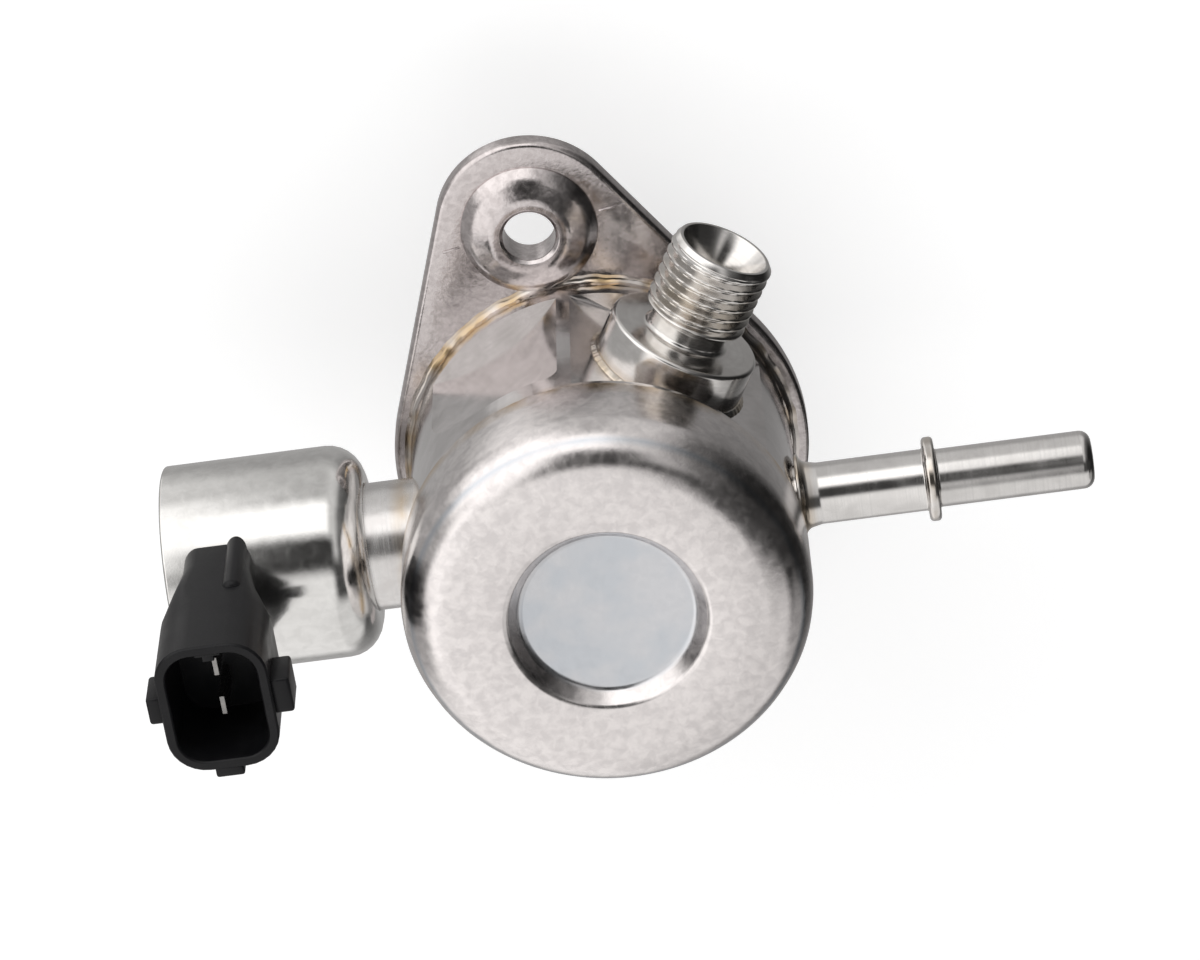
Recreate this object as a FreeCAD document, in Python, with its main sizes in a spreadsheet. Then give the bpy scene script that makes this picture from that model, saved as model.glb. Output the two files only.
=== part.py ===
"""Single plunger, cam driven high pressure fuel pump for direct injection.

Millimetres. The pump axis is Z. The origin is the centre of the flange's mounting
face: the damper cover is at +Z, the plunger and its spring reach down to -Z. The inlet
tube leaves along +X and the solenoid valve along -X, both square to the pump axis. The
high pressure outlet leaves at outlet_azimuth, counted from +X towards +Y.
"""
import FreeCAD, Part
import math
import os
import re

import Sketcher

os.makedirs("parts", exist_ok=True)
doc = FreeCAD.newDocument("fuel_pump")
sheet = doc.addObject("Spreadsheet::Sheet", "Dims")

# Driving dimensions, grouped by the piece that they belong to.
DIMENSIONS = {
    # Clearances that several pieces share
    "running_clearance": 0.03,
    "seat_clearance": 0.02,
    "free_clearance": 0.3,
    "tool_overrun": 1.0,
    # Mounting flange
    "flange_thickness": 3.0,
    "flange_margin": 2.5,
    "ear_radius": 12.8,
    "ear_azimuth": 98.25,
    "bolt_hole_radius": 3.6,
    "flange_edge_round": 0.8,
    "boss_base_radius": 9.4,
    "boss_shoulder_radius": 8.1,
    "boss_shoulder_height": 1.5,
    "boss_crest_radius": 5.3,
    "boss_height": 2.7,
    "boss_round": 3.2,
    "hole_rim_chamfer": 0.5,
    # Pump housing
    "housing_radius": 26.5,
    "housing_shoulder_z": 34.3,
    "cover_spigot_height": 2.7,
    "flat_foot_height": 3.5,
    "flat_head_height": 2.0,
    "outlet_flat_depth": 4.05,
    "plain_flat_depth": 2.27,
    "plain_flat_azimuth": 120.0,
    "plain_flat_head_height": 4.9,
    "plain_flat_wide_round": 12.0,
    "plain_flat_small_round": 2.0,
    "pilot_radius": 18.9,
    "pilot_length": 9.0,
    "pilot_chamfer": 0.8,
    "groove_wall": 2.5,
    "seal_pocket_top_z": -1.0,
    "chamber_radius": 5.0,
    "chamber_top_z": 24.8,
    "ring_groove_z": -5.0,
    "ring_groove_depth": 1.9,
    "ring_section_radius": 1.2,
    "inlet_passage_length": 4.0,
    # Damper cover and the capsule under it
    "cover_overhang": 0.77,
    "cover_wall": 1.2,
    "cover_height": 15.2,
    "cover_shoulder": 6.3,
    "dimple_rim_radius": 13.3,
    "dimple_floor_radius": 11.7,
    "dimple_depth": 2.3,
    "dimple_round": 1.1,
    "dimple_wall_shift": 0.7,
    "damper_height": 4.6,
    "damper_gap": 5.07,
    "membrane_sheet": 0.4,
    "membrane_rise": 1.6,
    "membrane_rim_width": 2.1,
    "membrane_flank_width": 1.7,
    "membrane_flank_shift": 0.2,
    "damper_ring_inset": 0.2,
    "damper_ring_wall": 1.2,
    "damper_ring_slot_width": 8.0,
    "damper_ring_slots": 6,
    # Plunger, liner, seal and return spring
    "plunger_radius": 4.0,
    "plunger_top_z": 11.0,
    "plunger_step_z": -2.5,
    "plunger_foot_radius": 3.1,
    "plunger_foot_reach": 4.0,
    "plunger_neck_radius": 2.5,
    "plunger_neck_length": 1.2,
    "plunger_foot_round": 0.8,
    "plunger_top_chamfer": 0.3,
    "liner_radius": 7.0,
    "liner_top_z": 17.0,
    "liner_collar_radius": 10.0,
    "liner_collar_height": 2.0,
    "liner_groove_z": 2.0,
    "liner_groove_width": 1.6,
    "liner_groove_depth": 0.5,
    "carrier_sheet": 1.2,
    "carrier_nose_radius": 6.9,
    "carrier_nose_length": 10.0,
    "carrier_lip_radius": 3.9,
    "carrier_rim_height": 1.0,
    "seal_length": 4.2,
    "seal_groove_depth": 1.7,
    "seal_groove_floor": 1.2,
    "seal_inner_lip": 0.5,
    "seal_outer_lip": 0.7,
    "spring_offset": 0.2,
    "spring_wire_radius": 1.2,
    "spring_turns": 5.5,
    "spring_seat_top_z": -27.0,
    "spring_seat_margin": 1.1,
    "spring_seat_sheet": 1.5,
    "spring_hub_gap": 0.4,
    "spring_seat_hub_height": 1.0,
    # Inlet tube, distances from the pump axis
    "inlet_axis_z": 22.74,
    "inlet_radius": 3.95,
    "inlet_shank_step": 0.25,
    "inlet_wall": 0.9,
    "inlet_seat_depth": 6.5,
    "inlet_flare_width": 1.7,
    "inlet_flare_thickness": 0.5,
    "inlet_flare_round": 1.6,
    "inlet_bead_distance": 44.7,
    "inlet_bead_height": 1.8,
    "inlet_bead_width": 1.6,
    "inlet_bead_round": 0.3,
    "inlet_tip_distance": 66.6,
    "inlet_tip_round": 1.5,
    "inlet_tip_lip": 0.75,
    "strainer_wall": 0.5,
    "strainer_length": 9.0,
    # Outlet fitting and its check valve, lengths along the outlet's own axis
    "outlet_axis_z": 19.33,
    "outlet_azimuth": 60.0,
    "outlet_passage_radius": 1.5,
    "outlet_spigot_length": 9.45,
    "outlet_spigot_radius": 7.0,
    "outlet_collar_radius": 10.4,
    "outlet_collar_height": 6.35,
    "outlet_collar_chamfer": 0.5,
    "outlet_neck_depth": 1.7,
    "outlet_neck_length": 2.8,
    "outlet_thread_radius": 7.0,
    "outlet_thread_chamfer": 0.7,
    "outlet_thread_length": 10.9,
    "outlet_mouth_wall": 1.1,
    "outlet_bore_radius": 2.0,
    "outlet_chamber_radius": 4.5,
    "outlet_chamber_length": 11.0,
    "check_seat_thickness": 3.0,
    "check_ball_radius": 2.5,
    "check_spring_mean_radius": 2.5,
    "check_spring_wire_radius": 0.35,
    "check_spring_turns": 4.0,
    "check_spring_overlap": 0.7,
    # Solenoid valve, lengths along its own axis
    "valve_axis_z": 21.73,
    "valve_bore_radius": 6.0,
    "valve_bore_wall": 1.0,
    "valve_passage_radius": 2.6,
    "stop_plate_thickness": 1.4,
    "stop_rim_wall": 1.0,
    "stop_hole_radius": 0.8,
    "stop_hole_circle": 3.2,
    "stop_holes": 6,
    "valve_chamber_length": 4.0,
    "valve_seat_thickness": 2.5,
    "valve_seat_hole_radius": 3.0,
    "disc_gap": 0.7,
    "valve_disc_thickness": 1.0,
    "valve_lift": 0.4,
    "valve_spring_mean_radius": 1.7,
    "valve_spring_wire_radius": 0.15,
    "valve_spring_turns": 2.0,
    "gallery_radius": 4.0,
    "gallery_length": 3.0,
    "riser_radius": 1.2,
    "neck_depth": 2.5,
    "neck_radius": 8.75,
    "neck_length": 9.5,
    "sleeve_radius": 6.2,
    "sleeve_wall": 1.3,
    "sleeve_reach": 22.0,
    "cavity_floor": 2.5,
    "needle_radius": 1.2,
    "armature_play": 1.5,
    "armature_length": 8.5,
    "armature_pocket_radius": 2.9,
    "armature_pocket_depth": 2.0,
    "air_gap": 0.6,
    "end_plate_inset": 1.0,
    "armature_spring_length": 5.0,
    "armature_spring_mean_radius": 2.2,
    "armature_spring_wire_radius": 0.3,
    "armature_spring_turns": 4.5,
    "coil_margin": 3.1,
    "coil_length": 19.5,
    "bobbin_wall": 1.0,
    "coil_gap": 0.82,
    "winding_inset": 0.8,
    "can_radius": 14.52,
    "can_wall": 1.3,
    "can_seat_length": 7.9,
    "can_length": 26.9,
    "can_face_width": 0.97,
    "end_plate_thickness": 2.4,
    # Electrical connector, on the side of the can that faces +Z
    "connector_inset": 7.5,
    "connector_root_half_x": 4.55,
    "connector_waist_half_x": 5.5,
    "connector_waist_height": 6.25,
    "connector_flare_height": 4.0,
    "connector_half_x": 7.4,
    "connector_half_y": 9.4,
    "connector_shroud_height": 12.5,
    "connector_corner": 5.0,
    "connector_root_corner": 2.0,
    "connector_wall": 1.4,
    "connector_socket_depth": 13.5,
    "connector_wing_width": 2.4,
    "connector_wing_half_y": 2.6,
    "connector_wing_length": 6.0,
    "connector_rail_width": 1.8,
    "connector_rail_half_y": 2.0,
    "connector_tab_half_x": 1.9,
    "connector_tab_depth": 1.2,
    "connector_tab_length": 7.0,
    "connector_lip": 1.0,
    "connector_key_half_x": 1.7,
    "connector_key_depth": 1.5,
    "connector_rib_radius": 1.4,
    "connector_rib_offset": 2.7,
    "terminal_spacing": 6.0,
    "terminal_half_width": 0.4,
    "terminal_half_breadth": 1.4,
    "terminal_height": 8.0,
    "terminal_root": 6.0,
}

# Sizes and places that follow from the driving dimensions, each after what it reads.
DERIVED = {
    "flange_radius": "housing_radius + flange_margin",
    "bolt_circle_radius": "housing_radius + boss_base_radius",
    "housing_top_z": "housing_shoulder_z + cover_spigot_height",
    "flat_bottom_z": "flange_thickness + flat_foot_height",
    "flat_top_z": "housing_shoulder_z - flat_head_height",
    "outlet_flat_distance": "housing_radius - outlet_flat_depth",
    "plain_flat_distance": "housing_radius - plain_flat_depth",
    "plain_flat_top_z": "housing_shoulder_z - plain_flat_head_height",
    "seal_pocket_radius": "pilot_radius - ring_groove_depth - groove_wall",
    "cover_radius": "housing_radius + cover_overhang",
    "cover_top_z": "housing_shoulder_z + cover_height",
    "damper_plane_z": "housing_top_z + damper_height",
    "membrane_radius": "cover_radius - cover_wall - damper_gap",
    "damper_ring_outer_radius": "membrane_radius - damper_ring_inset",
    "damper_ring_inner_radius": "damper_ring_outer_radius - damper_ring_wall",
    "liner_collar_bottom_z": "seal_pocket_top_z - liner_collar_height",
    "carrier_nose_bottom_z": "liner_collar_bottom_z - carrier_nose_length",
    "spring_mean_radius": "(carrier_nose_radius + seal_pocket_radius - carrier_sheet) / 2 - spring_offset",
    "spring_seat_radius": "spring_mean_radius + spring_wire_radius + spring_seat_margin",
    "spring_seat_hub_radius": "spring_mean_radius - spring_wire_radius - spring_hub_gap",
    "plunger_foot_z": "spring_seat_top_z - plunger_foot_reach",
    "inlet_bore_radius": "inlet_radius - inlet_wall",
    "inlet_shank_radius": "inlet_radius + inlet_shank_step",
    "inlet_mouth_radius": "inlet_bore_radius - inlet_tip_lip",
    "inlet_flare_radius": "inlet_shank_radius + inlet_flare_width",
    "inlet_bead_radius": "inlet_radius + inlet_bead_height",
    "inlet_seat_distance": "housing_radius - inlet_seat_depth",
    "inlet_flare_distance": "housing_radius - free_clearance",
    "outlet_seat_distance": "outlet_flat_distance - outlet_spigot_length",
    "outlet_chamber_distance": "outlet_seat_distance + outlet_chamber_length",
    "outlet_collar_distance": "outlet_flat_distance + outlet_collar_height",
    "outlet_thread_distance": "outlet_collar_distance + outlet_neck_length",
    "outlet_mouth_distance": "outlet_thread_distance + outlet_thread_length",
    "outlet_neck_radius": "outlet_thread_radius - outlet_neck_depth",
    "outlet_cone_radius": "outlet_thread_radius - outlet_mouth_wall",
    "valve_bore_distance": "liner_radius + valve_bore_wall",
    "valve_seat_distance": "valve_bore_distance + valve_chamber_length",
    "stop_rim_radius": "valve_bore_radius - stop_rim_wall",
    "valve_disc_radius": "stop_rim_radius - disc_gap",
    "neck_distance": "housing_radius - neck_depth",
    "sleeve_bore_radius": "sleeve_radius - sleeve_wall",
    "sleeve_end_distance": "neck_distance + sleeve_reach",
    "armature_cavity_distance": "neck_distance + cavity_floor",
    "armature_distance": "armature_cavity_distance + armature_play",
    "can_start_distance": "neck_distance + can_seat_length",
    "can_end_distance": "can_start_distance + can_length",
    "can_shoulder": "can_radius - neck_radius - can_face_width",
    "pole_end_distance": "can_end_distance - end_plate_inset",
    "coil_start_distance": "can_start_distance + coil_margin",
    "coil_end_distance": "coil_start_distance + coil_length",
    "bobbin_flange_radius": "can_radius - can_wall - coil_gap",
    "winding_radius": "bobbin_flange_radius - winding_inset",
    "connector_distance": "can_end_distance - connector_inset",
    "connector_waist_z": "valve_axis_z + can_radius + connector_waist_height",
    "connector_shroud_z": "connector_waist_z + connector_flare_height",
    "connector_mouth_z": "connector_shroud_z + connector_shroud_height",
}

cells = {**DIMENSIONS, **{alias: f"={formula}" for alias, formula in DERIVED.items()}}
for row, (alias, size) in enumerate(cells.items(), start=1):
    sheet.set(f"A{row}", alias)
    sheet.set(f"B{row}", str(size))
    sheet.setAlias(f"B{row}", alias)
doc.recompute()


# Shared ways of making a piece

FULL_TURN = 360
MATCH = 0.01  # how near an edge lies to the place that is asked for


def expression(text):
    """Turn a sum of cell names into an expression that reads the sheet."""
    return re.sub(r"[a-z]+(?:_[a-z]+)+", lambda word: "Dims." + word.group(0), str(text))


def value(text):
    """Return the number that a sum of cell names stands for now."""
    return float(sheet.evalExpression(expression(text)))


def bind(item, **sizes):
    """Bind each named property of an object to a sum of cell names."""
    for name, text in sizes.items():
        item.setExpression(name, expression(text))


def radial(azimuth, height, distance="0"):
    """Placement whose own Z axis points outwards from the pump axis."""
    return expression(
        f"placement(vector(0; 0; {height}); rotation(vector(0; 0; 1); {azimuth})"
        f" * rotation(vector(0; 1; 0); 90))"
        f" * placement(vector(0; 0; {distance}); rotation(vector(0; 0; 1); 0))"
    )


def origin_plane(body, role):
    """Return one of a body's own origin planes."""
    return [plane for plane in body.Origin.OriginFeatures if plane.Role == role][0]


def new_sketch(body, name, role, offset="0"):
    """Add a sketch on an origin plane of its own body, lifted by an offset."""
    sketch = body.newObject("Sketcher::SketchObject", name)
    sketch.AttachmentSupport = [(origin_plane(body, role), "")]
    sketch.MapMode = "FlatFace"
    sketch.setExpression("AttachmentOffset.Base.z", expression(offset))
    return sketch


def fix_point(sketch, geometry, end, across, along):
    """Bind one point of a sketch to two sums of cell names."""
    first = sketch.addConstraint(
        Sketcher.Constraint("DistanceX", -1, 1, geometry, end, value(across)))
    sketch.setExpression(f"Constraints[{first}]", expression(across))
    second = sketch.addConstraint(
        Sketcher.Constraint("DistanceY", -1, 1, geometry, end, value(along)))
    sketch.setExpression(f"Constraints[{second}]", expression(along))


def polygon(sketch, points):
    """Draw a closed outline whose corners are bound to the sheet."""
    corners = [FreeCAD.Vector(value(across), value(along), 0) for across, along in points]
    count = len(corners)
    for index in range(count):
        sketch.addGeometry(Part.LineSegment(corners[index], corners[(index + 1) % count]))
    for index in range(count):
        sketch.addConstraint(Sketcher.Constraint("Coincident", index, 2, (index + 1) % count, 1))
    for index, (across, along) in enumerate(points):
        fix_point(sketch, index, 1, across, along)


def circle(sketch, across, along, radius):
    """Draw a circle whose centre and radius are bound to the sheet."""
    middle = FreeCAD.Vector(value(across), value(along), 0)
    index = sketch.addGeometry(Part.Circle(middle, FreeCAD.Vector(0, 0, 1), value(radius)))
    fix_point(sketch, index, 3, across, along)
    size = sketch.addConstraint(Sketcher.Constraint("Radius", index, value(radius)))
    sketch.setExpression(f"Constraints[{size}]", expression(radius))


def rounded_rectangle(sketch, middle_x, half_x, half_y, corner):
    """Draw a rectangle with round corners, centred on the sketch's X axis."""
    middle, reach_x, reach_y, radius = [value(text) for text in (middle_x, half_x, half_y, corner)]
    quarter = math.pi / 2
    signs = [(1, 1), (-1, 1), (-1, -1), (1, -1)]
    for index, (side_x, side_y) in enumerate(signs):
        centre = FreeCAD.Vector(middle + side_x * (reach_x - radius), side_y * (reach_y - radius), 0)
        ring = Part.Circle(centre, FreeCAD.Vector(0, 0, 1), radius)
        sketch.addGeometry(Part.ArcOfCircle(ring, index * quarter, (index + 1) * quarter))
    for index in range(4):
        start = sketch.Geometry[index].EndPoint
        finish = sketch.Geometry[(index + 1) % 4].StartPoint
        line = sketch.addGeometry(Part.LineSegment(start, finish))
        sketch.addConstraint(Sketcher.Constraint("Tangent", index, 2, line, 1))
        sketch.addConstraint(Sketcher.Constraint("Tangent", line, 2, (index + 1) % 4, 1))
    for index, (side_x, side_y) in enumerate(signs):
        across = f"{middle_x} + {side_x} * ({half_x} - {corner})"
        along = f"{side_y} * ({half_y} - {corner})"
        fix_point(sketch, index, 3, across, along)
    size = sketch.addConstraint(Sketcher.Constraint("Radius", 0, radius))
    sketch.setExpression(f"Constraints[{size}]", expression(corner))


def new_body(name, placement=None):
    """Add a body, placed by an expression where one is given."""
    body = doc.addObject("PartDesign::Body", name)
    body.Label = name
    if placement:
        body.setExpression("Placement", placement)
    return body


def turned(name, profile, placement=None):
    """Turn a closed (radius, height) profile about the body's own Z axis."""
    body = new_body(name, placement)
    sketch = new_sketch(body, name + "_profile", "XZ_Plane")
    polygon(sketch, profile)
    turn = body.newObject("PartDesign::Revolution", name + "_turned")
    turn.Profile = sketch
    turn.ReferenceAxis = (sketch, ["V_Axis"])
    turn.Angle = FULL_TURN
    doc.recompute()
    return body


def padded(body, sketch, length, reverse=False):
    """Raise a sketch by a length that is bound to the sheet."""
    pad = body.newObject("PartDesign::Pad", sketch.Name + "_pad")
    pad.Profile = sketch
    pad.Reversed = reverse
    bind(pad, Length=length)
    doc.recompute()
    return pad


def pocketed(body, sketch, length, reverse=False):
    """Sink a sketch by a length, and make sure that it has cut something."""
    before = body.Shape.Volume
    pocket = body.newObject("PartDesign::Pocket", sketch.Name + "_pocket")
    pocket.Profile = sketch
    pocket.Reversed = reverse
    bind(pocket, Length=length)
    doc.recompute()
    if body.Shape.Volume >= before:
        raise RuntimeError(f"{pocket.Name} cuts nothing")
    return pocket


def ring_edges(body, rings):
    """Name the circular edges about the body's own Z axis at each radius and height."""
    wanted = [(value(radius), value(height)) for radius, height in rings]
    names = []
    for number, edge in enumerate(body.Tip.Shape.Edges, start=1):
        if not isinstance(edge.Curve, Part.Circle):
            continue
        middle = edge.Curve.Center
        if abs(middle.x) > MATCH or abs(middle.y) > MATCH:
            continue
        for radius, height in wanted:
            if abs(edge.Curve.Radius - radius) < MATCH and abs(middle.z - height) < MATCH:
                names.append(f"Edge{number}")
    return names


def rounded(body, name, radius, rings):
    """Round the circular edges of a turned body."""
    names = ring_edges(body, rings)
    base = body.Tip
    fillet = body.newObject("PartDesign::Fillet", name)
    fillet.Base = (base, names)
    bind(fillet, Radius=radius)
    body.Tip = fillet
    doc.recompute()
    return fillet


def chamfered(body, name, size, rings):
    """Chamfer the circular edges of a turned body."""
    names = ring_edges(body, rings)
    base = body.Tip
    chamfer = body.newObject("PartDesign::Chamfer", name)
    chamfer.Base = (base, names)
    bind(chamfer, Size=size)
    body.Tip = chamfer
    doc.recompute()
    return chamfer


def drilling(name, radius, length, placement):
    """Straight drilling, as a cylinder that is taken away later."""
    tool = doc.addObject("Part::Cylinder", name)
    bind(tool, Radius=radius, Height=length)
    tool.setExpression("Placement", placement)
    return tool


def upright(across, along, height):
    """Placement of a tool that stands parallel to the pump axis."""
    return expression(
        f"placement(vector({across}; {along}; {height}); rotation(vector(0; 0; 1); 0))")


def cut_from(name, base, tools):
    """Take a group of tools away from a base, as the finished piece."""
    tool = tools[0]
    if len(tools) > 1:
        tool = doc.addObject("Part::MultiFuse", name + "_tools")
        tool.Shapes = tools
    piece = doc.addObject("Part::Cut", name + "_cut")
    piece.Base = base
    piece.Tool = tool
    base.Label = name + "_blank"
    piece.Label = name
    doc.recompute()
    if piece.Shape.Volume >= base.Shape.Volume:
        raise RuntimeError(f"{name}: the tools cut nothing")
    return piece


def coil(name, mean_radius, wire_radius, turns, length, placement):
    """Coil spring from the placement's own origin, its wire inside the length."""
    body = new_body(name, placement)
    sketch = new_sketch(body, name + "_wire", "XZ_Plane")
    circle(sketch, mean_radius, wire_radius, wire_radius)
    helix = body.newObject("PartDesign::AdditiveHelix", name + "_helix")
    helix.Profile = sketch
    helix.ReferenceAxis = (sketch, ["V_Axis"])
    helix.Mode = "height-turns-angle"
    helix.Angle = 0
    bind(helix, Height=f"{length} - 2 * {wire_radius}", Turns=turns)
    doc.recompute()
    return body


VALVE = "180"
INLET = "0"

# Pump housing: turned block with its pilot, two milled flats and the port drillings

housing_blank = turned("pump_housing", [
    ("seal_pocket_radius", "-pilot_length"),
    ("pilot_radius", "-pilot_length"),
    ("pilot_radius", "flange_thickness"),
    ("housing_radius", "flange_thickness"),
    ("housing_radius", "housing_shoulder_z"),
    ("cover_radius - cover_wall - seat_clearance", "housing_shoulder_z"),
    ("cover_radius - cover_wall - seat_clearance", "housing_top_z"),
    ("0", "housing_top_z"),
    ("0", "chamber_top_z"),
    ("chamber_radius", "chamber_top_z"),
    ("chamber_radius", "liner_top_z"),
    ("liner_radius", "liner_top_z"),
    ("liner_radius", "seal_pocket_top_z"),
    ("seal_pocket_radius", "seal_pocket_top_z"),
])
chamfered(housing_blank, "pilot_lead_in", "pilot_chamfer", [("pilot_radius", "-pilot_length")])
groove_sketch = new_sketch(housing_blank, "ring_groove_profile", "XZ_Plane")
polygon(groove_sketch, [
    ("pilot_radius - ring_groove_depth", "ring_groove_z - ring_section_radius - free_clearance"),
    ("pilot_radius + tool_overrun", "ring_groove_z - ring_section_radius - free_clearance"),
    ("pilot_radius + tool_overrun", "ring_groove_z + ring_section_radius + free_clearance"),
    ("pilot_radius - ring_groove_depth", "ring_groove_z + ring_section_radius + free_clearance"),
])
ring_groove = housing_blank.newObject("PartDesign::Groove", "ring_groove")
ring_groove.Profile = groove_sketch
ring_groove.ReferenceAxis = (groove_sketch, ["V_Axis"])
ring_groove.Angle = FULL_TURN
doc.recompute()


def flat_tool(name, azimuth, distance, top):
    """Milling path that leaves a flat on the housing at a distance from its axis."""
    body = new_body(name, expression(
        f"placement(vector(0; 0; 0); rotation(vector(0; 0; 1); {azimuth}))"))
    sketch = new_sketch(body, name + "_outline", "YZ_Plane", distance)
    half_width = f"sqrt(housing_radius ^ 2 - ({distance}) ^ 2)"
    polygon(sketch, [
        (f"-{half_width}", "flat_bottom_z"),
        (half_width, "flat_bottom_z"),
        (half_width, top),
        (f"-{half_width}", top),
    ])
    padded(body, sketch, "housing_radius")
    return body


def round_top_corner(body, name, radius, side):
    """Round the upper corner of a milling path on one side of its middle."""
    top = body.Tip.Shape.BoundBox.ZMax
    base = body.Tip
    width = max(abs(vertex.Y) for vertex in base.Shape.Vertexes)
    names = []
    for number, edge in enumerate(base.Shape.Edges, start=1):
        ends = [vertex.Point for vertex in edge.Vertexes]
        if all(abs(end.z - top) < MATCH and abs(end.y - side * width) < MATCH for end in ends):
            names.append(f"Edge{number}")
    corner = body.newObject("PartDesign::Fillet", name)
    corner.Base = (base, names)
    bind(corner, Radius=radius)
    body.Tip = corner
    doc.recompute()


outlet_flat = flat_tool("outlet_flat", "outlet_azimuth", "outlet_flat_distance", "flat_top_z")
plain_flat = flat_tool("plain_flat", "plain_flat_azimuth", "plain_flat_distance",
                       "plain_flat_top_z")
round_top_corner(plain_flat, "plain_flat_wide_corner", "plain_flat_wide_round", 1)
round_top_corner(plain_flat, "plain_flat_small_corner", "plain_flat_small_round", -1)

housing_tools = [
    outlet_flat,
    plain_flat,
    drilling("outlet_passage", "outlet_passage_radius", "housing_radius",
             radial("outlet_azimuth", "outlet_axis_z")),
    drilling("outlet_bore", "outlet_spigot_radius", "housing_radius",
             radial("outlet_azimuth", "outlet_axis_z", "outlet_seat_distance")),
    drilling("inlet_bore", "inlet_shank_radius", "housing_radius",
             radial(INLET, "inlet_axis_z", "inlet_seat_distance")),
    drilling("inlet_passage", "inlet_bore_radius", "inlet_passage_length", radial(
        INLET, "inlet_axis_z", "inlet_seat_distance - inlet_passage_length")),
    drilling("inlet_riser", "riser_radius", "housing_top_z - inlet_axis_z",
             upright("inlet_seat_distance - inlet_passage_length / 2", "0", "inlet_axis_z")),
    drilling("valve_passage", "valve_passage_radius", "housing_radius",
             radial(VALVE, "valve_axis_z")),
    drilling("valve_bore", "valve_bore_radius", "housing_radius",
             radial(VALVE, "valve_axis_z", "valve_bore_distance")),
    drilling("valve_counterbore", "neck_radius", "housing_radius",
             radial(VALVE, "valve_axis_z", "neck_distance")),
    drilling("valve_riser", "riser_radius", "housing_top_z - valve_axis_z",
             upright("-valve_seat_distance - valve_seat_thickness - gallery_length / 2", "0",
                     "valve_axis_z")),
]
pump_housing = cut_from("pump_housing", housing_blank, housing_tools)

# Mounting flange: pressed plate with two ears, each with a raised bolt boss

flange_plate = new_body(
    "flange_plate",
    expression("placement(vector(0; 0; 0); rotation(vector(0; 0; 1); ear_azimuth))"))


def flange_outline(sketch):
    """Two ear arcs and two middle arcs, joined by four lines that touch them."""
    reach = value("bolt_circle_radius")
    big = value("flange_radius")
    small = value("ear_radius")
    touch = math.acos((big - small) / reach)
    half_turn = math.pi
    up = FreeCAD.Vector(0, 0, 1)
    ear_right = Part.Circle(FreeCAD.Vector(reach, 0, 0), up, small)
    ear_left = Part.Circle(FreeCAD.Vector(-reach, 0, 0), up, small)
    middle = Part.Circle(FreeCAD.Vector(0, 0, 0), up, big)
    sketch.addGeometry(Part.ArcOfCircle(ear_right, -touch, touch))
    sketch.addGeometry(Part.ArcOfCircle(middle, touch, half_turn - touch))
    sketch.addGeometry(Part.ArcOfCircle(ear_left, half_turn - touch, half_turn + touch))
    sketch.addGeometry(Part.ArcOfCircle(middle, half_turn + touch, 2 * half_turn - touch))
    for index in range(4):
        start = sketch.Geometry[index].EndPoint
        finish = sketch.Geometry[(index + 1) % 4].StartPoint
        line = sketch.addGeometry(Part.LineSegment(start, finish))
        sketch.addConstraint(Sketcher.Constraint("Tangent", index, 2, line, 1))
        sketch.addConstraint(Sketcher.Constraint("Tangent", line, 2, (index + 1) % 4, 1))
    fix_point(sketch, 0, 3, "bolt_circle_radius", "0")
    fix_point(sketch, 1, 3, "0", "0")
    fix_point(sketch, 2, 3, "-bolt_circle_radius", "0")
    fix_point(sketch, 3, 3, "0", "0")
    for index, radius in enumerate(["ear_radius", "flange_radius", "ear_radius", "flange_radius"]):
        size = sketch.addConstraint(Sketcher.Constraint("Radius", index, value(radius)))
        sketch.setExpression(f"Constraints[{size}]", expression(radius))


plate_sketch = new_sketch(flange_plate, "flange_outline", "XY_Plane")
flange_outline(plate_sketch)
padded(flange_plate, plate_sketch, "flange_thickness")


def boss_on(name, side):
    """Domed ring round a bolt hole: steep at its foot, soft over its shoulder."""
    crest = "flange_thickness + boss_height"
    boss = turned(name, [
        ("0", "flange_thickness / 2"),
        ("boss_base_radius", "flange_thickness / 2"),
        ("boss_base_radius", "flange_thickness"),
        ("boss_shoulder_radius", "flange_thickness + boss_shoulder_height"),
        ("boss_crest_radius", crest),
        ("bolt_hole_radius + hole_rim_chamfer", crest),
        ("bolt_hole_radius", f"{crest} - hole_rim_chamfer"),
        ("0", f"{crest} - hole_rim_chamfer"),
    ])
    rounded(boss, name + "_rounds", "boss_round", [
        ("boss_shoulder_radius", "flange_thickness + boss_shoulder_height"),
        ("boss_crest_radius", crest),
    ])
    boss.setExpression("Placement", expression(
        "placement(vector(0; 0; 0); rotation(vector(0; 0; 1); ear_azimuth))"
        f" * placement(vector({side} * bolt_circle_radius; 0; 0); rotation(vector(0; 0; 1); 0))"))
    return boss


def ear_hole(name, side):
    """Bolt hole through an ear and its boss."""
    length = "flange_thickness + boss_height + 2 * tool_overrun"
    return drilling(name, "bolt_hole_radius", length, expression(
        "placement(vector(0; 0; -tool_overrun); rotation(vector(0; 0; 1); ear_azimuth))"
        f" * placement(vector({side} * bolt_circle_radius; 0; 0); rotation(vector(0; 0; 1); 0))"))


def outline_edges(body, height):
    """Name the edges of a plate's rim that lie at a height."""
    names = []
    for number, edge in enumerate(body.Tip.Shape.Edges, start=1):
        box = edge.BoundBox
        if abs(box.ZMin - height) < MATCH and abs(box.ZMax - height) < MATCH:
            names.append(f"Edge{number}")
    return names


rim_edges = outline_edges(flange_plate, value("flange_thickness"))
rim_base = flange_plate.Tip
rim_round = flange_plate.newObject("PartDesign::Fillet", "flange_rim_round")
rim_round.Base = (rim_base, rim_edges)
bind(rim_round, Radius="flange_edge_round")
flange_plate.Tip = rim_round
doc.recompute()

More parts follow.
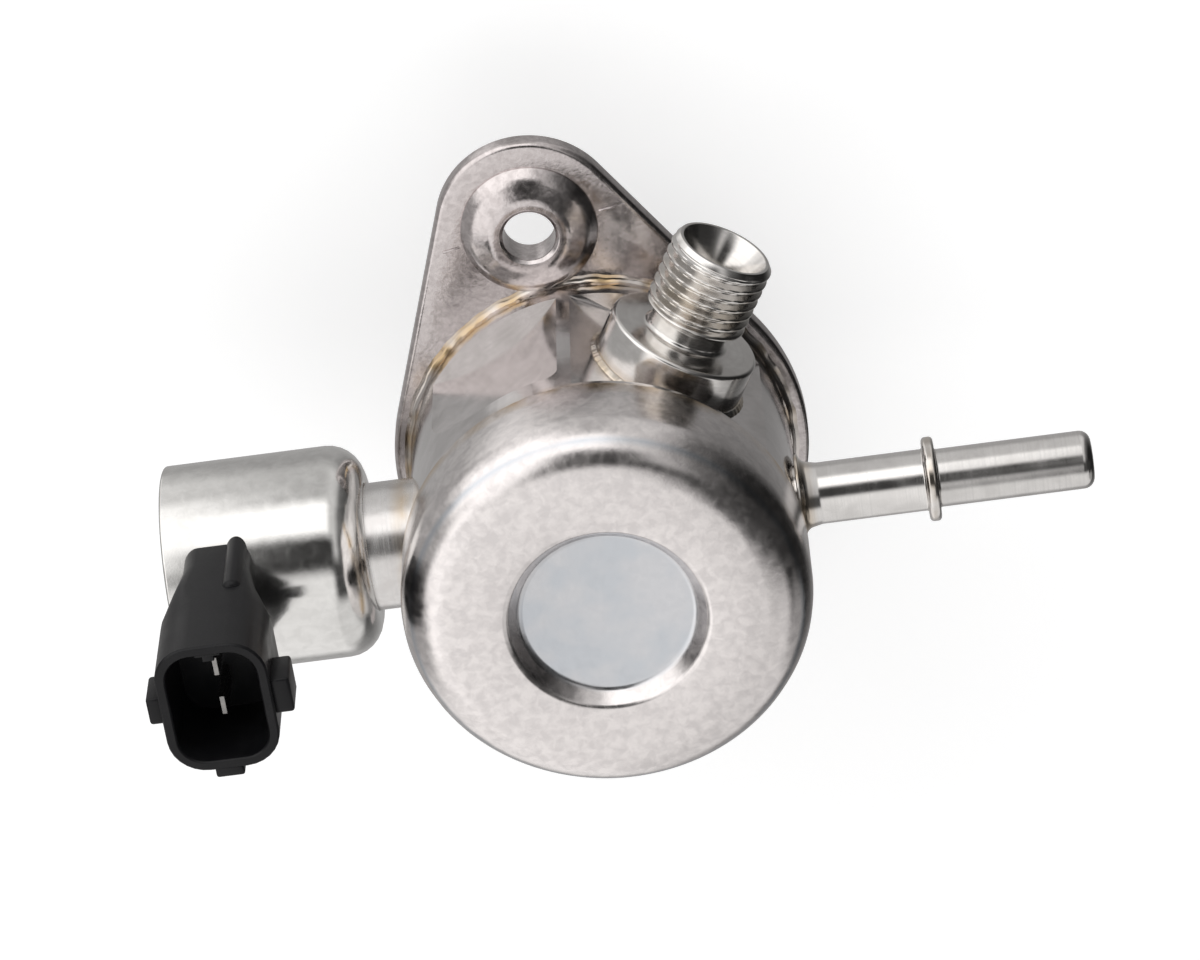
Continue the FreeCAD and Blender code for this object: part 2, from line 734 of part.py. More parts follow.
flange_blank = doc.addObject("Part::MultiFuse", "mounting_flange_blank")
flange_blank.Shapes = [flange_plate, boss_on("near_boss", "1"), boss_on("far_boss", "-1")]
mounting_flange = cut_from("mounting_flange", flange_blank, [
    ear_hole("near_bolt_hole", "1"),
    ear_hole("far_bolt_hole", "-1"),
    drilling("pilot_hole", "pilot_radius + seat_clearance",
             "flange_thickness + 2 * tool_overrun", upright("0", "0", "-tool_overrun")),
])

# Damper cover: drawn steel cup with a shallow dimple, on the housing's shoulder

damper_cover = turned("damper_cover", [
    ("cover_radius - cover_wall", "housing_shoulder_z"),
    ("cover_radius", "housing_shoulder_z"),
    ("cover_radius", "cover_top_z"),
    ("dimple_rim_radius", "cover_top_z"),
    ("dimple_floor_radius", "cover_top_z - dimple_depth"),
    ("0", "cover_top_z - dimple_depth"),
    ("0", "cover_top_z - dimple_depth - cover_wall"),
    ("dimple_floor_radius + dimple_wall_shift", "cover_top_z - dimple_depth - cover_wall"),
    ("dimple_rim_radius + dimple_wall_shift", "cover_top_z - cover_wall"),
    ("cover_radius - cover_wall", "cover_top_z - cover_wall"),
])
rounded(damper_cover, "cover_outer_shoulder", "cover_shoulder", [("cover_radius", "cover_top_z")])
rounded(damper_cover, "cover_inner_shoulder", "cover_shoulder - cover_wall",
        [("cover_radius - cover_wall", "cover_top_z - cover_wall")])
rounded(damper_cover, "dimple_rounds", "dimple_round", [
    ("dimple_rim_radius", "cover_top_z"),
    ("dimple_floor_radius", "cover_top_z - dimple_depth"),
])


# Damper capsule: two domed membranes, welded rim to rim, and the rings that hold it


def membrane(name, side):
    """Domed membrane that bulges to one side of the capsule's middle plane."""
    rim = f"damper_plane_z + {side} * membrane_sheet"
    crown = f"damper_plane_z + {side} * (membrane_rise + membrane_sheet)"
    hollow = f"damper_plane_z + {side} * membrane_rise"
    flank = "membrane_radius - membrane_rim_width"
    return turned(name, [
        ("membrane_radius", "damper_plane_z"),
        ("membrane_radius", rim),
        (flank, rim),
        (f"{flank} - membrane_flank_width", crown),
        ("0", crown),
        ("0", hollow),
        (f"{flank} - membrane_flank_width - membrane_flank_shift", hollow),
        (f"{flank} - membrane_flank_shift", "damper_plane_z"),
    ])


membrane("damper_upper_membrane", 1)
membrane("damper_lower_membrane", -1)


def slotted_ring(name, bottom, top):
    """Ring that carries the capsule's rim. Slots half its height let the fuel through."""
    body = turned(name, [
        ("damper_ring_inner_radius", bottom),
        ("damper_ring_outer_radius", bottom),
        ("damper_ring_outer_radius", top),
        ("damper_ring_inner_radius", top),
    ])
    sketch = new_sketch(body, name + "_slot", "XZ_Plane")
    polygon(sketch, [
        ("-damper_ring_slot_width / 2", f"{bottom} + ({top} - {bottom}) / 4"),
        ("damper_ring_slot_width / 2", f"{bottom} + ({top} - {bottom}) / 4"),
        ("damper_ring_slot_width / 2", f"{top} - ({top} - {bottom}) / 4"),
        ("-damper_ring_slot_width / 2", f"{top} - ({top} - {bottom}) / 4"),
    ])
    slot = pocketed(body, sketch, "damper_ring_outer_radius + tool_overrun")
    turns = body.newObject("PartDesign::PolarPattern", name + "_slots")
    turns.Originals = [slot]
    turns.Axis = (sketch, ["V_Axis"])
    turns.Angle = FULL_TURN
    bind(turns, Occurrences="damper_ring_slots")
    body.Tip = turns
    doc.recompute()
    return body


slotted_ring("damper_support_ring", "housing_top_z", "damper_plane_z - membrane_sheet")
slotted_ring("damper_spring_ring", "damper_plane_z + membrane_sheet", "cover_top_z - cover_wall")

# Cylinder liner, plunger, seal and carrier

turned("cylinder_liner", [
    ("plunger_radius + running_clearance", "liner_collar_bottom_z"),
    ("liner_collar_radius", "liner_collar_bottom_z"),
    ("liner_collar_radius", "seal_pocket_top_z"),
    ("liner_radius - seat_clearance", "seal_pocket_top_z"),
    ("liner_radius - seat_clearance", "liner_top_z"),
    ("plunger_radius + running_clearance", "liner_top_z"),
    ("plunger_radius + running_clearance", "liner_groove_z + liner_groove_width"),
    ("plunger_radius + liner_groove_depth", "liner_groove_z + liner_groove_width"),
    ("plunger_radius + liner_groove_depth", "liner_groove_z"),
    ("plunger_radius + running_clearance", "liner_groove_z"),
])

plunger = turned("plunger", [
    ("0", "plunger_foot_z"),
    ("plunger_foot_radius", "plunger_foot_z"),
    ("plunger_foot_radius", "spring_seat_top_z - spring_seat_sheet"),
    ("plunger_neck_radius", "spring_seat_top_z - spring_seat_sheet"),
    ("plunger_neck_radius", "spring_seat_top_z - spring_seat_sheet + plunger_neck_length"),
    ("plunger_foot_radius", "spring_seat_top_z - spring_seat_sheet + plunger_neck_length"),
    ("plunger_foot_radius", "plunger_step_z"),
    ("plunger_radius", "plunger_step_z"),
    ("plunger_radius", "plunger_top_z"),
    ("0", "plunger_top_z"),
])
rounded(plunger, "foot_round", "plunger_foot_round", [("plunger_foot_radius", "plunger_foot_z")])
chamfered(plunger, "top_chamfer", "plunger_top_chamfer", [("plunger_radius", "plunger_top_z")])

turned("seal_carrier", [
    ("carrier_lip_radius", "carrier_nose_bottom_z"),
    ("carrier_nose_radius", "carrier_nose_bottom_z"),
    ("carrier_nose_radius", "liner_collar_bottom_z - carrier_sheet"),
    ("seal_pocket_radius - seat_clearance - carrier_sheet", "liner_collar_bottom_z - carrier_sheet"),
    ("seal_pocket_radius - seat_clearance - carrier_sheet", "-pilot_length + carrier_rim_height"),
    ("seal_pocket_radius - seat_clearance", "-pilot_length + carrier_rim_height"),
    ("seal_pocket_radius - seat_clearance", "liner_collar_bottom_z"),
    ("carrier_nose_radius - carrier_sheet", "liner_collar_bottom_z"),
    ("carrier_nose_radius - carrier_sheet", "carrier_nose_bottom_z + carrier_sheet"),
    ("carrier_lip_radius", "carrier_nose_bottom_z + carrier_sheet"),
])

turned("plunger_seal", [
    ("plunger_foot_radius + running_clearance", "carrier_nose_bottom_z + carrier_sheet"),
    ("carrier_nose_radius - carrier_sheet - seat_clearance", "carrier_nose_bottom_z + carrier_sheet"),
    ("carrier_nose_radius - carrier_sheet - seat_clearance",
     "carrier_nose_bottom_z + carrier_sheet + seal_length"),
    ("carrier_nose_radius - carrier_sheet - seal_outer_lip",
     "carrier_nose_bottom_z + carrier_sheet + seal_length"),
    ("plunger_foot_radius + seal_groove_floor",
     "carrier_nose_bottom_z + carrier_sheet + seal_length - seal_groove_depth"),
    ("plunger_foot_radius + seal_inner_lip",
     "carrier_nose_bottom_z + carrier_sheet + seal_length"),
    ("plunger_foot_radius + running_clearance",
     "carrier_nose_bottom_z + carrier_sheet + seal_length"),
])

turned("spring_seat", [
    ("plunger_foot_radius + seat_clearance",
     "spring_seat_top_z - spring_seat_sheet + plunger_neck_length"),
    ("plunger_neck_radius + seat_clearance",
     "spring_seat_top_z - spring_seat_sheet + plunger_neck_length"),
    ("plunger_neck_radius + seat_clearance", "spring_seat_top_z - spring_seat_sheet"),
    ("spring_seat_radius", "spring_seat_top_z - spring_seat_sheet"),
    ("spring_seat_radius", "spring_seat_top_z"),
    ("spring_seat_hub_radius", "spring_seat_top_z"),
    ("spring_seat_hub_radius", "spring_seat_top_z + spring_seat_hub_height"),
    ("plunger_foot_radius + seat_clearance", "spring_seat_top_z + spring_seat_hub_height"),
])

coil("return_spring", "spring_mean_radius", "spring_wire_radius", "spring_turns",
     "liner_collar_bottom_z - carrier_sheet - spring_seat_top_z",
     upright("0", "0", "spring_seat_top_z"))

pilot_ring = doc.addObject("Part::Torus", "pilot_o_ring")
pilot_ring.Label = "pilot_o_ring"
bind(pilot_ring, Radius2="ring_section_radius",
     Radius1="pilot_radius - ring_groove_depth + ring_section_radius + seat_clearance")
pilot_ring.setExpression("Placement", upright("0", "0", "ring_groove_z"))

# Inlet tube with its retaining bead, and the strainer inside it

inlet_tube = turned("inlet_tube", [
    ("inlet_bore_radius", "inlet_seat_distance"),
    ("inlet_shank_radius - seat_clearance", "inlet_seat_distance"),
    ("inlet_shank_radius - seat_clearance", "inlet_flare_distance + free_clearance"),
    ("inlet_flare_radius", "inlet_flare_distance + free_clearance"),
    ("inlet_flare_radius", "inlet_flare_distance + inlet_flare_thickness + free_clearance"),
    ("inlet_shank_radius", "inlet_flare_distance + inlet_flare_thickness + free_clearance"),
    ("inlet_shank_radius", "inlet_bead_distance - inlet_bead_width / 2"),
    ("inlet_bead_radius", "inlet_bead_distance - inlet_bead_width / 2"),
    ("inlet_bead_radius", "inlet_bead_distance + inlet_bead_width / 2"),
    ("inlet_radius", "inlet_bead_distance + inlet_bead_width / 2"),
    ("inlet_radius", "inlet_tip_distance"),
    ("inlet_mouth_radius", "inlet_tip_distance"),
    ("inlet_bore_radius", "inlet_tip_distance - inlet_tip_round"),
], radial(INLET, "inlet_axis_z"))
rounded(inlet_tube, "inlet_flare_root", "inlet_flare_round", [
    ("inlet_shank_radius", "inlet_flare_distance + inlet_flare_thickness + free_clearance"),
])
rounded(inlet_tube, "inlet_bead_edges", "inlet_bead_round", [
    ("inlet_bead_radius", "inlet_bead_distance - inlet_bead_width / 2"),
    ("inlet_bead_radius", "inlet_bead_distance + inlet_bead_width / 2"),
])
rounded(inlet_tube, "inlet_tip", "inlet_tip_round", [("inlet_radius", "inlet_tip_distance")])

turned("inlet_strainer", [
    ("0", "inlet_seat_distance"),
    ("inlet_bore_radius - seat_clearance", "inlet_seat_distance"),
    ("inlet_bore_radius - seat_clearance", "inlet_seat_distance + strainer_length"),
    ("inlet_bore_radius - seat_clearance - strainer_wall", "inlet_seat_distance + strainer_length"),
    ("inlet_bore_radius - seat_clearance - strainer_wall", "inlet_seat_distance + strainer_wall"),
    ("0", "inlet_seat_distance + strainer_wall"),
], radial(INLET, "inlet_axis_z"))

# Outlet fitting with its check valve

outlet_fitting = turned("outlet_fitting", [
    ("outlet_chamber_radius", "outlet_seat_distance"),
    ("outlet_spigot_radius - seat_clearance", "outlet_seat_distance"),
    ("outlet_spigot_radius - seat_clearance", "outlet_flat_distance"),
    ("outlet_collar_radius", "outlet_flat_distance"),
    ("outlet_collar_radius", "outlet_collar_distance"),
    ("outlet_neck_radius", "outlet_collar_distance"),
    ("outlet_neck_radius", "outlet_thread_distance"),
    ("outlet_thread_radius", "outlet_thread_distance + outlet_thread_chamfer"),
    ("outlet_thread_radius", "outlet_mouth_distance - outlet_thread_chamfer"),
    ("outlet_thread_radius - outlet_thread_chamfer", "outlet_mouth_distance"),
    ("outlet_cone_radius", "outlet_mouth_distance"),
    ("outlet_bore_radius",
     "outlet_mouth_distance - (outlet_cone_radius - outlet_bore_radius) * sqrt(3)"),
    ("outlet_bore_radius", "outlet_chamber_distance"),
    ("outlet_chamber_radius", "outlet_chamber_distance"),
], radial("outlet_azimuth", "outlet_axis_z"))
chamfered(outlet_fitting, "collar_chamfer", "outlet_collar_chamfer",
          [("outlet_collar_radius", "outlet_collar_distance")])

turned("outlet_valve_seat", [
    ("outlet_passage_radius", "outlet_seat_distance"),
    ("outlet_chamber_radius - seat_clearance", "outlet_seat_distance"),
    ("outlet_chamber_radius - seat_clearance", "outlet_seat_distance + check_seat_thickness"),
    ("outlet_passage_radius", "outlet_seat_distance + check_seat_thickness"),
], radial("outlet_azimuth", "outlet_axis_z"))

BALL_DISTANCE = ("outlet_seat_distance + check_seat_thickness + seat_clearance"
                 " + sqrt(check_ball_radius ^ 2 - outlet_passage_radius ^ 2)")
ball = doc.addObject("Part::Sphere", "outlet_valve_ball")
ball.Label = "outlet_valve_ball"
bind(ball, Radius="check_ball_radius")
ball.setExpression("Placement", radial("outlet_azimuth", "outlet_axis_z", BALL_DISTANCE))

BALL_SHOULDER = f"{BALL_DISTANCE} + check_ball_radius * check_spring_overlap"
coil("outlet_valve_spring", "check_spring_mean_radius", "check_spring_wire_radius",
     "check_spring_turns", f"(outlet_chamber_distance - ({BALL_SHOULDER}))",
     radial("outlet_azimuth", "outlet_axis_z", BALL_SHOULDER))

# Inlet valve: stop, spring, disc and seat, in the housing's bore

inlet_valve_stop = turned("inlet_valve_stop", [
    ("0", "valve_bore_distance"),
    ("valve_bore_radius - seat_clearance", "valve_bore_distance"),
    ("valve_bore_radius - seat_clearance", "valve_seat_distance"),
    ("stop_rim_radius", "valve_seat_distance"),
    ("stop_rim_radius", "valve_bore_distance + stop_plate_thickness"),
    ("0", "valve_bore_distance + stop_plate_thickness"),
], radial(VALVE, "valve_axis_z"))
hole_sketch = new_sketch(inlet_valve_stop, "stop_hole", "XY_Plane", "valve_bore_distance")
circle(hole_sketch, "stop_hole_circle", "0", "stop_hole_radius")
stop_hole = pocketed(inlet_valve_stop, hole_sketch, "stop_plate_thickness", reverse=True)
stop_holes = inlet_valve_stop.newObject("PartDesign::PolarPattern", "stop_holes")
stop_holes.Originals = [stop_hole]
stop_holes.Axis = (hole_sketch, ["N_Axis"])
stop_holes.Angle = FULL_TURN
bind(stop_holes, Occurrences="stop_holes")
inlet_valve_stop.Tip = stop_holes
doc.recompute()

turned("inlet_valve_seat", [
    ("valve_seat_hole_radius", "valve_seat_distance"),
    ("valve_bore_radius - seat_clearance", "valve_seat_distance"),
    ("valve_bore_radius - seat_clearance", "valve_seat_distance + valve_seat_thickness"),
    ("valve_seat_hole_radius", "valve_seat_distance + valve_seat_thickness"),
], radial(VALVE, "valve_axis_z"))

DISC_FACE = "valve_seat_distance - valve_lift - seat_clearance"
turned("inlet_valve_disc", [
    ("0", f"{DISC_FACE} - valve_disc_thickness"),
    ("valve_disc_radius", f"{DISC_FACE} - valve_disc_thickness"),
    ("valve_disc_radius", DISC_FACE),
    ("0", DISC_FACE),
], radial(VALVE, "valve_axis_z"))

coil("inlet_valve_spring", "valve_spring_mean_radius", "valve_spring_wire_radius",
     "valve_spring_turns",
     f"({DISC_FACE} - valve_disc_thickness - valve_bore_distance - stop_plate_thickness)",
     radial(VALVE, "valve_axis_z", "valve_bore_distance + stop_plate_thickness"))

# Solenoid valve body: spigot in the housing, the neck that shows, and the guide sleeve

valve_body_blank = turned("valve_body", [
    ("needle_radius + running_clearance",
     "valve_seat_distance + valve_seat_thickness + gallery_length"),
    ("gallery_radius", "valve_seat_distance + valve_seat_thickness + gallery_length"),
    ("gallery_radius", "valve_seat_distance + valve_seat_thickness"),
    ("valve_bore_radius - seat_clearance", "valve_seat_distance + valve_seat_thickness"),
    ("valve_bore_radius - seat_clearance", "neck_distance"),
    ("neck_radius - seat_clearance", "neck_distance"),
    ("neck_radius - seat_clearance", "neck_distance + neck_length"),
    ("sleeve_radius", "neck_distance + neck_length"),
    ("sleeve_radius", "sleeve_end_distance"),
    ("sleeve_bore_radius", "sleeve_end_distance"),
    ("sleeve_bore_radius", "armature_cavity_distance"),
    ("needle_radius + running_clearance", "armature_cavity_distance"),
], radial(VALVE, "valve_axis_z"))
valve_body = cut_from("valve_body", valve_body_blank, [
    drilling("valve_cross_hole", "riser_radius", "valve_bore_radius + tool_overrun",
             upright("-valve_seat_distance - valve_seat_thickness - gallery_length / 2", "0",
                     "valve_axis_z")),
])

turned("valve_needle", [
    ("0", f"{DISC_FACE} + seat_clearance"),
    ("needle_radius", f"{DISC_FACE} + seat_clearance"),
    ("needle_radius", "armature_distance + armature_length - armature_pocket_depth"),
    ("0", "armature_distance + armature_length - armature_pocket_depth"),
], radial(VALVE, "valve_axis_z"))

turned("armature", [
    ("needle_radius", "armature_distance"),
    ("sleeve_bore_radius - running_clearance", "armature_distance"),
    ("sleeve_bore_radius - running_clearance", "armature_distance + armature_length"),
    ("armature_pocket_radius", "armature_distance + armature_length"),
    ("armature_pocket_radius", "armature_distance + armature_length - armature_pocket_depth"),
    ("needle_radius", "armature_distance + armature_length - armature_pocket_depth"),
], radial(VALVE, "valve_axis_z"))

POLE_FACE = "armature_distance + armature_length + air_gap"
SPRING_START = "armature_distance + armature_length - armature_pocket_depth"
turned("pole_core", [
    ("0", "pole_end_distance"),
    ("0", f"{SPRING_START} + armature_spring_length"),
    ("armature_pocket_radius", f"{SPRING_START} + armature_spring_length"),
    ("armature_pocket_radius", POLE_FACE),
    ("sleeve_bore_radius - seat_clearance", POLE_FACE),
    ("sleeve_bore_radius - seat_clearance", "pole_end_distance"),
], radial(VALVE, "valve_axis_z"))

coil("armature_spring", "armature_spring_mean_radius", "armature_spring_wire_radius",
     "armature_spring_turns", "armature_spring_length",
     radial(VALVE, "valve_axis_z", SPRING_START))

# Coil: bobbin and winding round the guide sleeve

turned("coil_bobbin", [
    ("sleeve_radius + seat_clearance", "coil_start_distance"),
    ("bobbin_flange_radius", "coil_start_distance"),
    ("bobbin_flange_radius", "coil_start_distance + bobbin_wall"),
    ("sleeve_radius + seat_clearance + bobbin_wall", "coil_start_distance + bobbin_wall"),
    ("sleeve_radius + seat_clearance + bobbin_wall", "coil_end_distance - bobbin_wall"),
    ("bobbin_flange_radius", "coil_end_distance - bobbin_wall"),
    ("bobbin_flange_radius", "coil_end_distance"),
    ("sleeve_radius + seat_clearance", "coil_end_distance"),
], radial(VALVE, "valve_axis_z"))

turned("coil_winding", [
    ("sleeve_radius + 2 * seat_clearance + bobbin_wall",
     "coil_start_distance + bobbin_wall + seat_clearance"),
    ("winding_radius", "coil_start_distance + bobbin_wall + seat_clearance"),
    ("winding_radius", "coil_end_distance - bobbin_wall - seat_clearance"),
    ("sleeve_radius + 2 * seat_clearance + bobbin_wall",
     "coil_end_distance - bobbin_wall - seat_clearance"),
], radial(VALVE, "valve_axis_z"))

# Solenoid can: drawn cup with a window for the connector, closed by a plate

can_blank = turned("solenoid_can", [
    ("neck_radius", "can_start_distance"),
    ("can_radius", "can_start_distance"),
    ("can_radius", "can_end_distance"),
    ("can_radius - can_wall", "can_end_distance"),
    ("can_radius - can_wall", "can_start_distance + can_wall"),
    ("neck_radius", "can_start_distance + can_wall"),
], radial(VALVE, "valve_axis_z"))
rounded(can_blank, "can_outer_shoulder", "can_shoulder", [("can_radius", "can_start_distance")])
rounded(can_blank, "can_inner_shoulder", "can_shoulder - can_wall",
        [("can_radius - can_wall", "can_start_distance + can_wall")])


def connector_section(body, name, height, half_x, corner, extra="0"):
    """Rounded rectangle across the connector at a height."""
    sketch = new_sketch(body, name, "XY_Plane", height)
    rounded_rectangle(sketch, "-connector_distance", f"({half_x} + {extra})",
                      f"(connector_half_y + {extra})", corner)
    return sketch


can_window = new_body("can_window")
window_sketch = connector_section(can_window, "window_outline", "valve_axis_z",
                                  "connector_root_half_x", "connector_root_corner",
                                  "seat_clearance")
padded(can_window, window_sketch, "can_radius + tool_overrun")
solenoid_can = cut_from("solenoid_can", can_blank, [can_window])

turned("can_end_plate", [
    ("sleeve_bore_radius", "pole_end_distance - end_plate_thickness"),
    ("can_radius - can_wall - seat_clearance", "pole_end_distance - end_plate_thickness"),
    ("can_radius - can_wall - seat_clearance", "pole_end_distance"),
    ("sleeve_bore_radius", "pole_end_distance"),
], radial(VALVE, "valve_axis_z"))

# Connector: moulded foot on the coil, waist, shroud and its keys, with two blades

connector = new_body("connector_moulding")
foot_section = connector_section(connector, "foot_section", "valve_axis_z",
                                 "connector_root_half_x", "connector_root_corner")
waist_section = connector_section(connector, "waist_section", "connector_waist_z",
                                  "connector_waist_half_x", "connector_root_corner")
shroud_section = connector_section(connector, "shroud_section", "connector_shroud_z",
                                   "connector_half_x", "connector_corner")
low_section = connector_section(connector, "low_section", "valve_axis_z + can_radius + tool_overrun",
                                "connector_root_half_x", "connector_root_corner")
mouth_section = connector_section(connector, "mouth_section", "connector_mouth_z",
                                  "connector_half_x", "connector_corner")
stem = connector.newObject("PartDesign::AdditiveLoft", "connector_stem")
stem.Profile = foot_section
stem.Sections = [low_section, waist_section, shroud_section, mouth_section]
stem.Ruled = True
doc.recompute()

socket_sketch = new_sketch(connector, "socket_outline", "XY_Plane", "connector_mouth_z")
rounded_rectangle(socket_sketch, "-connector_distance", "(connector_half_x - connector_wall)",
                  "(connector_half_y - connector_wall)", "(connector_corner - connector_wall)")
pocketed(connector, socket_sketch, "connector_socket_depth")


def block(name, low, high):
    """Box between two corners, each given as three sums of cell names."""
    box = doc.addObject("Part::Box", name)
    bind(box, Length=f"({high[0]}) - ({low[0]})", Width=f"({high[1]}) - ({low[1]})",
         Height=f"({high[2]}) - ({low[2]})")
    box.setExpression("Placement", upright(*low))
    return box


LEFT = "-connector_distance - connector_half_x"
RIGHT = "-connector_distance + connector_half_x"
FRONT = "-connector_half_y"
BACK = "connector_half_y"
MOUTH = "connector_mouth_z"
LIP = "connector_mouth_z - connector_lip"
rib = doc.addObject("Part::Cut", "connector_rib")
rib.Base = drilling("rib_rod", "connector_rib_radius", "connector_waist_z - valve_axis_z",
                    upright("-connector_distance + connector_rib_offset",
                            "connector_half_y - connector_rib_radius / 2", "valve_axis_z"))
rib.Tool = drilling("rib_root", "can_radius + seat_clearance", "can_end_distance",
                    radial(VALVE, "valve_axis_z"))
connector_solid = doc.addObject("Part::MultiFuse", "connector_solid")
connector_solid.Shapes = [
    connector,
    block("connector_wing",
          (f"{RIGHT} - connector_wall / 2", "-connector_wing_half_y",
           f"{LIP} - connector_wing_length"),
          (f"{RIGHT} + connector_wing_width", "connector_wing_half_y", LIP)),
    block("connector_rail",
          (f"{LEFT} - connector_rail_width", "-connector_rail_half_y",
           f"{LIP} - connector_wing_length"),
          (f"{LEFT} + connector_wall / 2", "connector_rail_half_y", LIP)),
    block("connector_tab",
          ("-connector_distance - connector_tab_half_x", f"{FRONT} - connector_tab_depth",
           f"{MOUTH} - connector_tab_length"),
          ("-connector_distance + connector_tab_half_x", f"{FRONT} + connector_wall / 2", MOUTH)),
    block("connector_key",
          ("-connector_distance - connector_key_half_x",
           f"{BACK} - connector_wall - connector_key_depth", f"{MOUTH} - connector_socket_depth"),
          ("-connector_distance + connector_key_half_x", f"{BACK} - connector_wall / 2", LIP)),
    rib,
]


def terminal_space(name, side, clearance):
    """Blade in the socket, or the slot that holds it when given a clearance."""
    middle = f"{side} * terminal_spacing / 2"
    floor = f"{MOUTH} - connector_socket_depth"
    return block(name,
                 (f"-connector_distance - terminal_half_width - {clearance}",
                  f"{middle} - terminal_half_breadth - {clearance}",
                  f"{floor} - terminal_root"),
                 (f"-connector_distance + terminal_half_width + {clearance}",
                  f"{middle} + terminal_half_breadth + {clearance}",
                  f"{floor} + terminal_height"))


connector_body = cut_from("connector_body", connector_solid, [
    drilling("coil_clearance", "bobbin_flange_radius + seat_clearance",
             "can_end_distance", radial(VALVE, "valve_axis_z")),
    drilling("plate_clearance", "can_radius - can_wall", "end_plate_thickness",
             radial(VALVE, "valve_axis_z",
                    "pole_end_distance - end_plate_thickness - seat_clearance")),
    terminal_space("front_slot", -1, "seat_clearance"),
    terminal_space("rear_slot", 1, "seat_clearance"),
])
front_terminal = terminal_space("terminal_front", -1, "0")
rear_terminal = terminal_space("terminal_rear", 1, "0")
doc.recompute()

NODES = [
    "pump_housing", "mounting_flange", "damper_cover", "damper_upper_membrane",
    "damper_lower_membrane", "damper_support_ring", "damper_spring_ring", "cylinder_liner",
    "plunger", "seal_carrier", "plunger_seal", "spring_seat", "return_spring", "pilot_o_ring",
    "inlet_tube", "inlet_strainer", "outlet_fitting", "outlet_valve_seat", "outlet_valve_ball",
    "outlet_valve_spring", "inlet_valve_stop", "inlet_valve_seat", "inlet_valve_disc",
    "inlet_valve_spring", "valve_body", "valve_needle", "armature", "pole_core",
    "armature_spring", "coil_bobbin", "coil_winding", "solenoid_can", "can_end_plate",
    "connector_body", "terminal_front", "terminal_rear",
]

for item in doc.Objects:
    if "Invalid" in item.State or "Error" in item.State:
        raise RuntimeError(f"{item.Label} is {item.State}")

pieces = [doc.getObjectsByLabel(label)[0] for label in NODES]
for piece in pieces:
    if piece.Shape.isNull() or not piece.Shape.isValid():
        raise RuntimeError(f"{piece.Label} has no valid shape")
for piece in pieces:
    piece.Shape.exportStep(f"parts/{piece.Label}.step")
    print(piece.Label, len(piece.Shape.Solids), round(piece.Shape.Volume, 1))
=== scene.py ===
"""Looks of a high pressure fuel pump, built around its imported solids.

Sizes are written in millimetres, in the frame of the solids: the pump axis is Z, the inlet
tube leaves along +X and the solenoid valve along -X. Each sub-assembly is a class that
builds its meshes and dresses them. Finished meshes are in metres.
"""
import logging
import math
from dataclasses import dataclass, field
from enum import Enum
from typing import Callable, Optional, Sequence

import bmesh
import bpy
from bmesh.types import BMEdge, BMFace, BMVert
from bpy.types import Material, Node, NodeSocket, Object
from mathutils import Matrix, Vector, noise


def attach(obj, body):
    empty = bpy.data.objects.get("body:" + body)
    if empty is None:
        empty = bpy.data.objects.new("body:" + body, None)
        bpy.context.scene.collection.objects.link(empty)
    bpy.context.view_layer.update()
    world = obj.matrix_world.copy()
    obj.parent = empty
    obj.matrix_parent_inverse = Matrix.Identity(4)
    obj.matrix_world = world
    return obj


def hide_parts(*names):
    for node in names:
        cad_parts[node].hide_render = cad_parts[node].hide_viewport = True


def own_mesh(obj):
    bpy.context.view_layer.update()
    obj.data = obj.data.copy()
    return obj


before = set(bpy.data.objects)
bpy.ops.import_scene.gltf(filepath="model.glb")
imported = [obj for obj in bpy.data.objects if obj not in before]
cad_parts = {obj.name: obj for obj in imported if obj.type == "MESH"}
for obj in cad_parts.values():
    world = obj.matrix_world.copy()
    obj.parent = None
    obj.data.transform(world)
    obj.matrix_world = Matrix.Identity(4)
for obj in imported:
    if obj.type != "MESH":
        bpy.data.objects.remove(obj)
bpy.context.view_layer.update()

LOG = logging.getLogger("fuel_pump")
MM = 0.001
TURN_STEPS = 144
ROUND_STEPS = 7
MERGE_DISTANCE = 1e-4
SHARP_ANGLE = 32.0
WELD_SHARP_ANGLE = 60.0
DISSOLVE_ANGLE = 0.3

Colour = tuple[float, float, float]
Span = tuple[float, float]


class Body(Enum):
    """The rigid bodies that a piece can ride on."""

    ROOT = "root"
    PLUNGER = "plunger_group"


@dataclass(frozen=True)
class Corner:
    """One corner of a turned profile: its radius, its height and how far it is rounded."""

    radius: float
    height: float
    rounding: float = 0.0


def radial(azimuth: float, height: float) -> Matrix:
    """Return the placement whose own Z axis points outwards from the pump axis.

    Args:
        azimuth: Angle from +X towards +Y, in degrees.
        height: Height above the flange's mounting face.

    Returns:
        The placement, in millimetres.
    """
    turn = Matrix.Rotation(math.radians(azimuth), 4, "Z")
    return Matrix.Translation((0.0, 0.0, height)) @ turn @ Matrix.Rotation(math.pi / 2, 4, "Y")


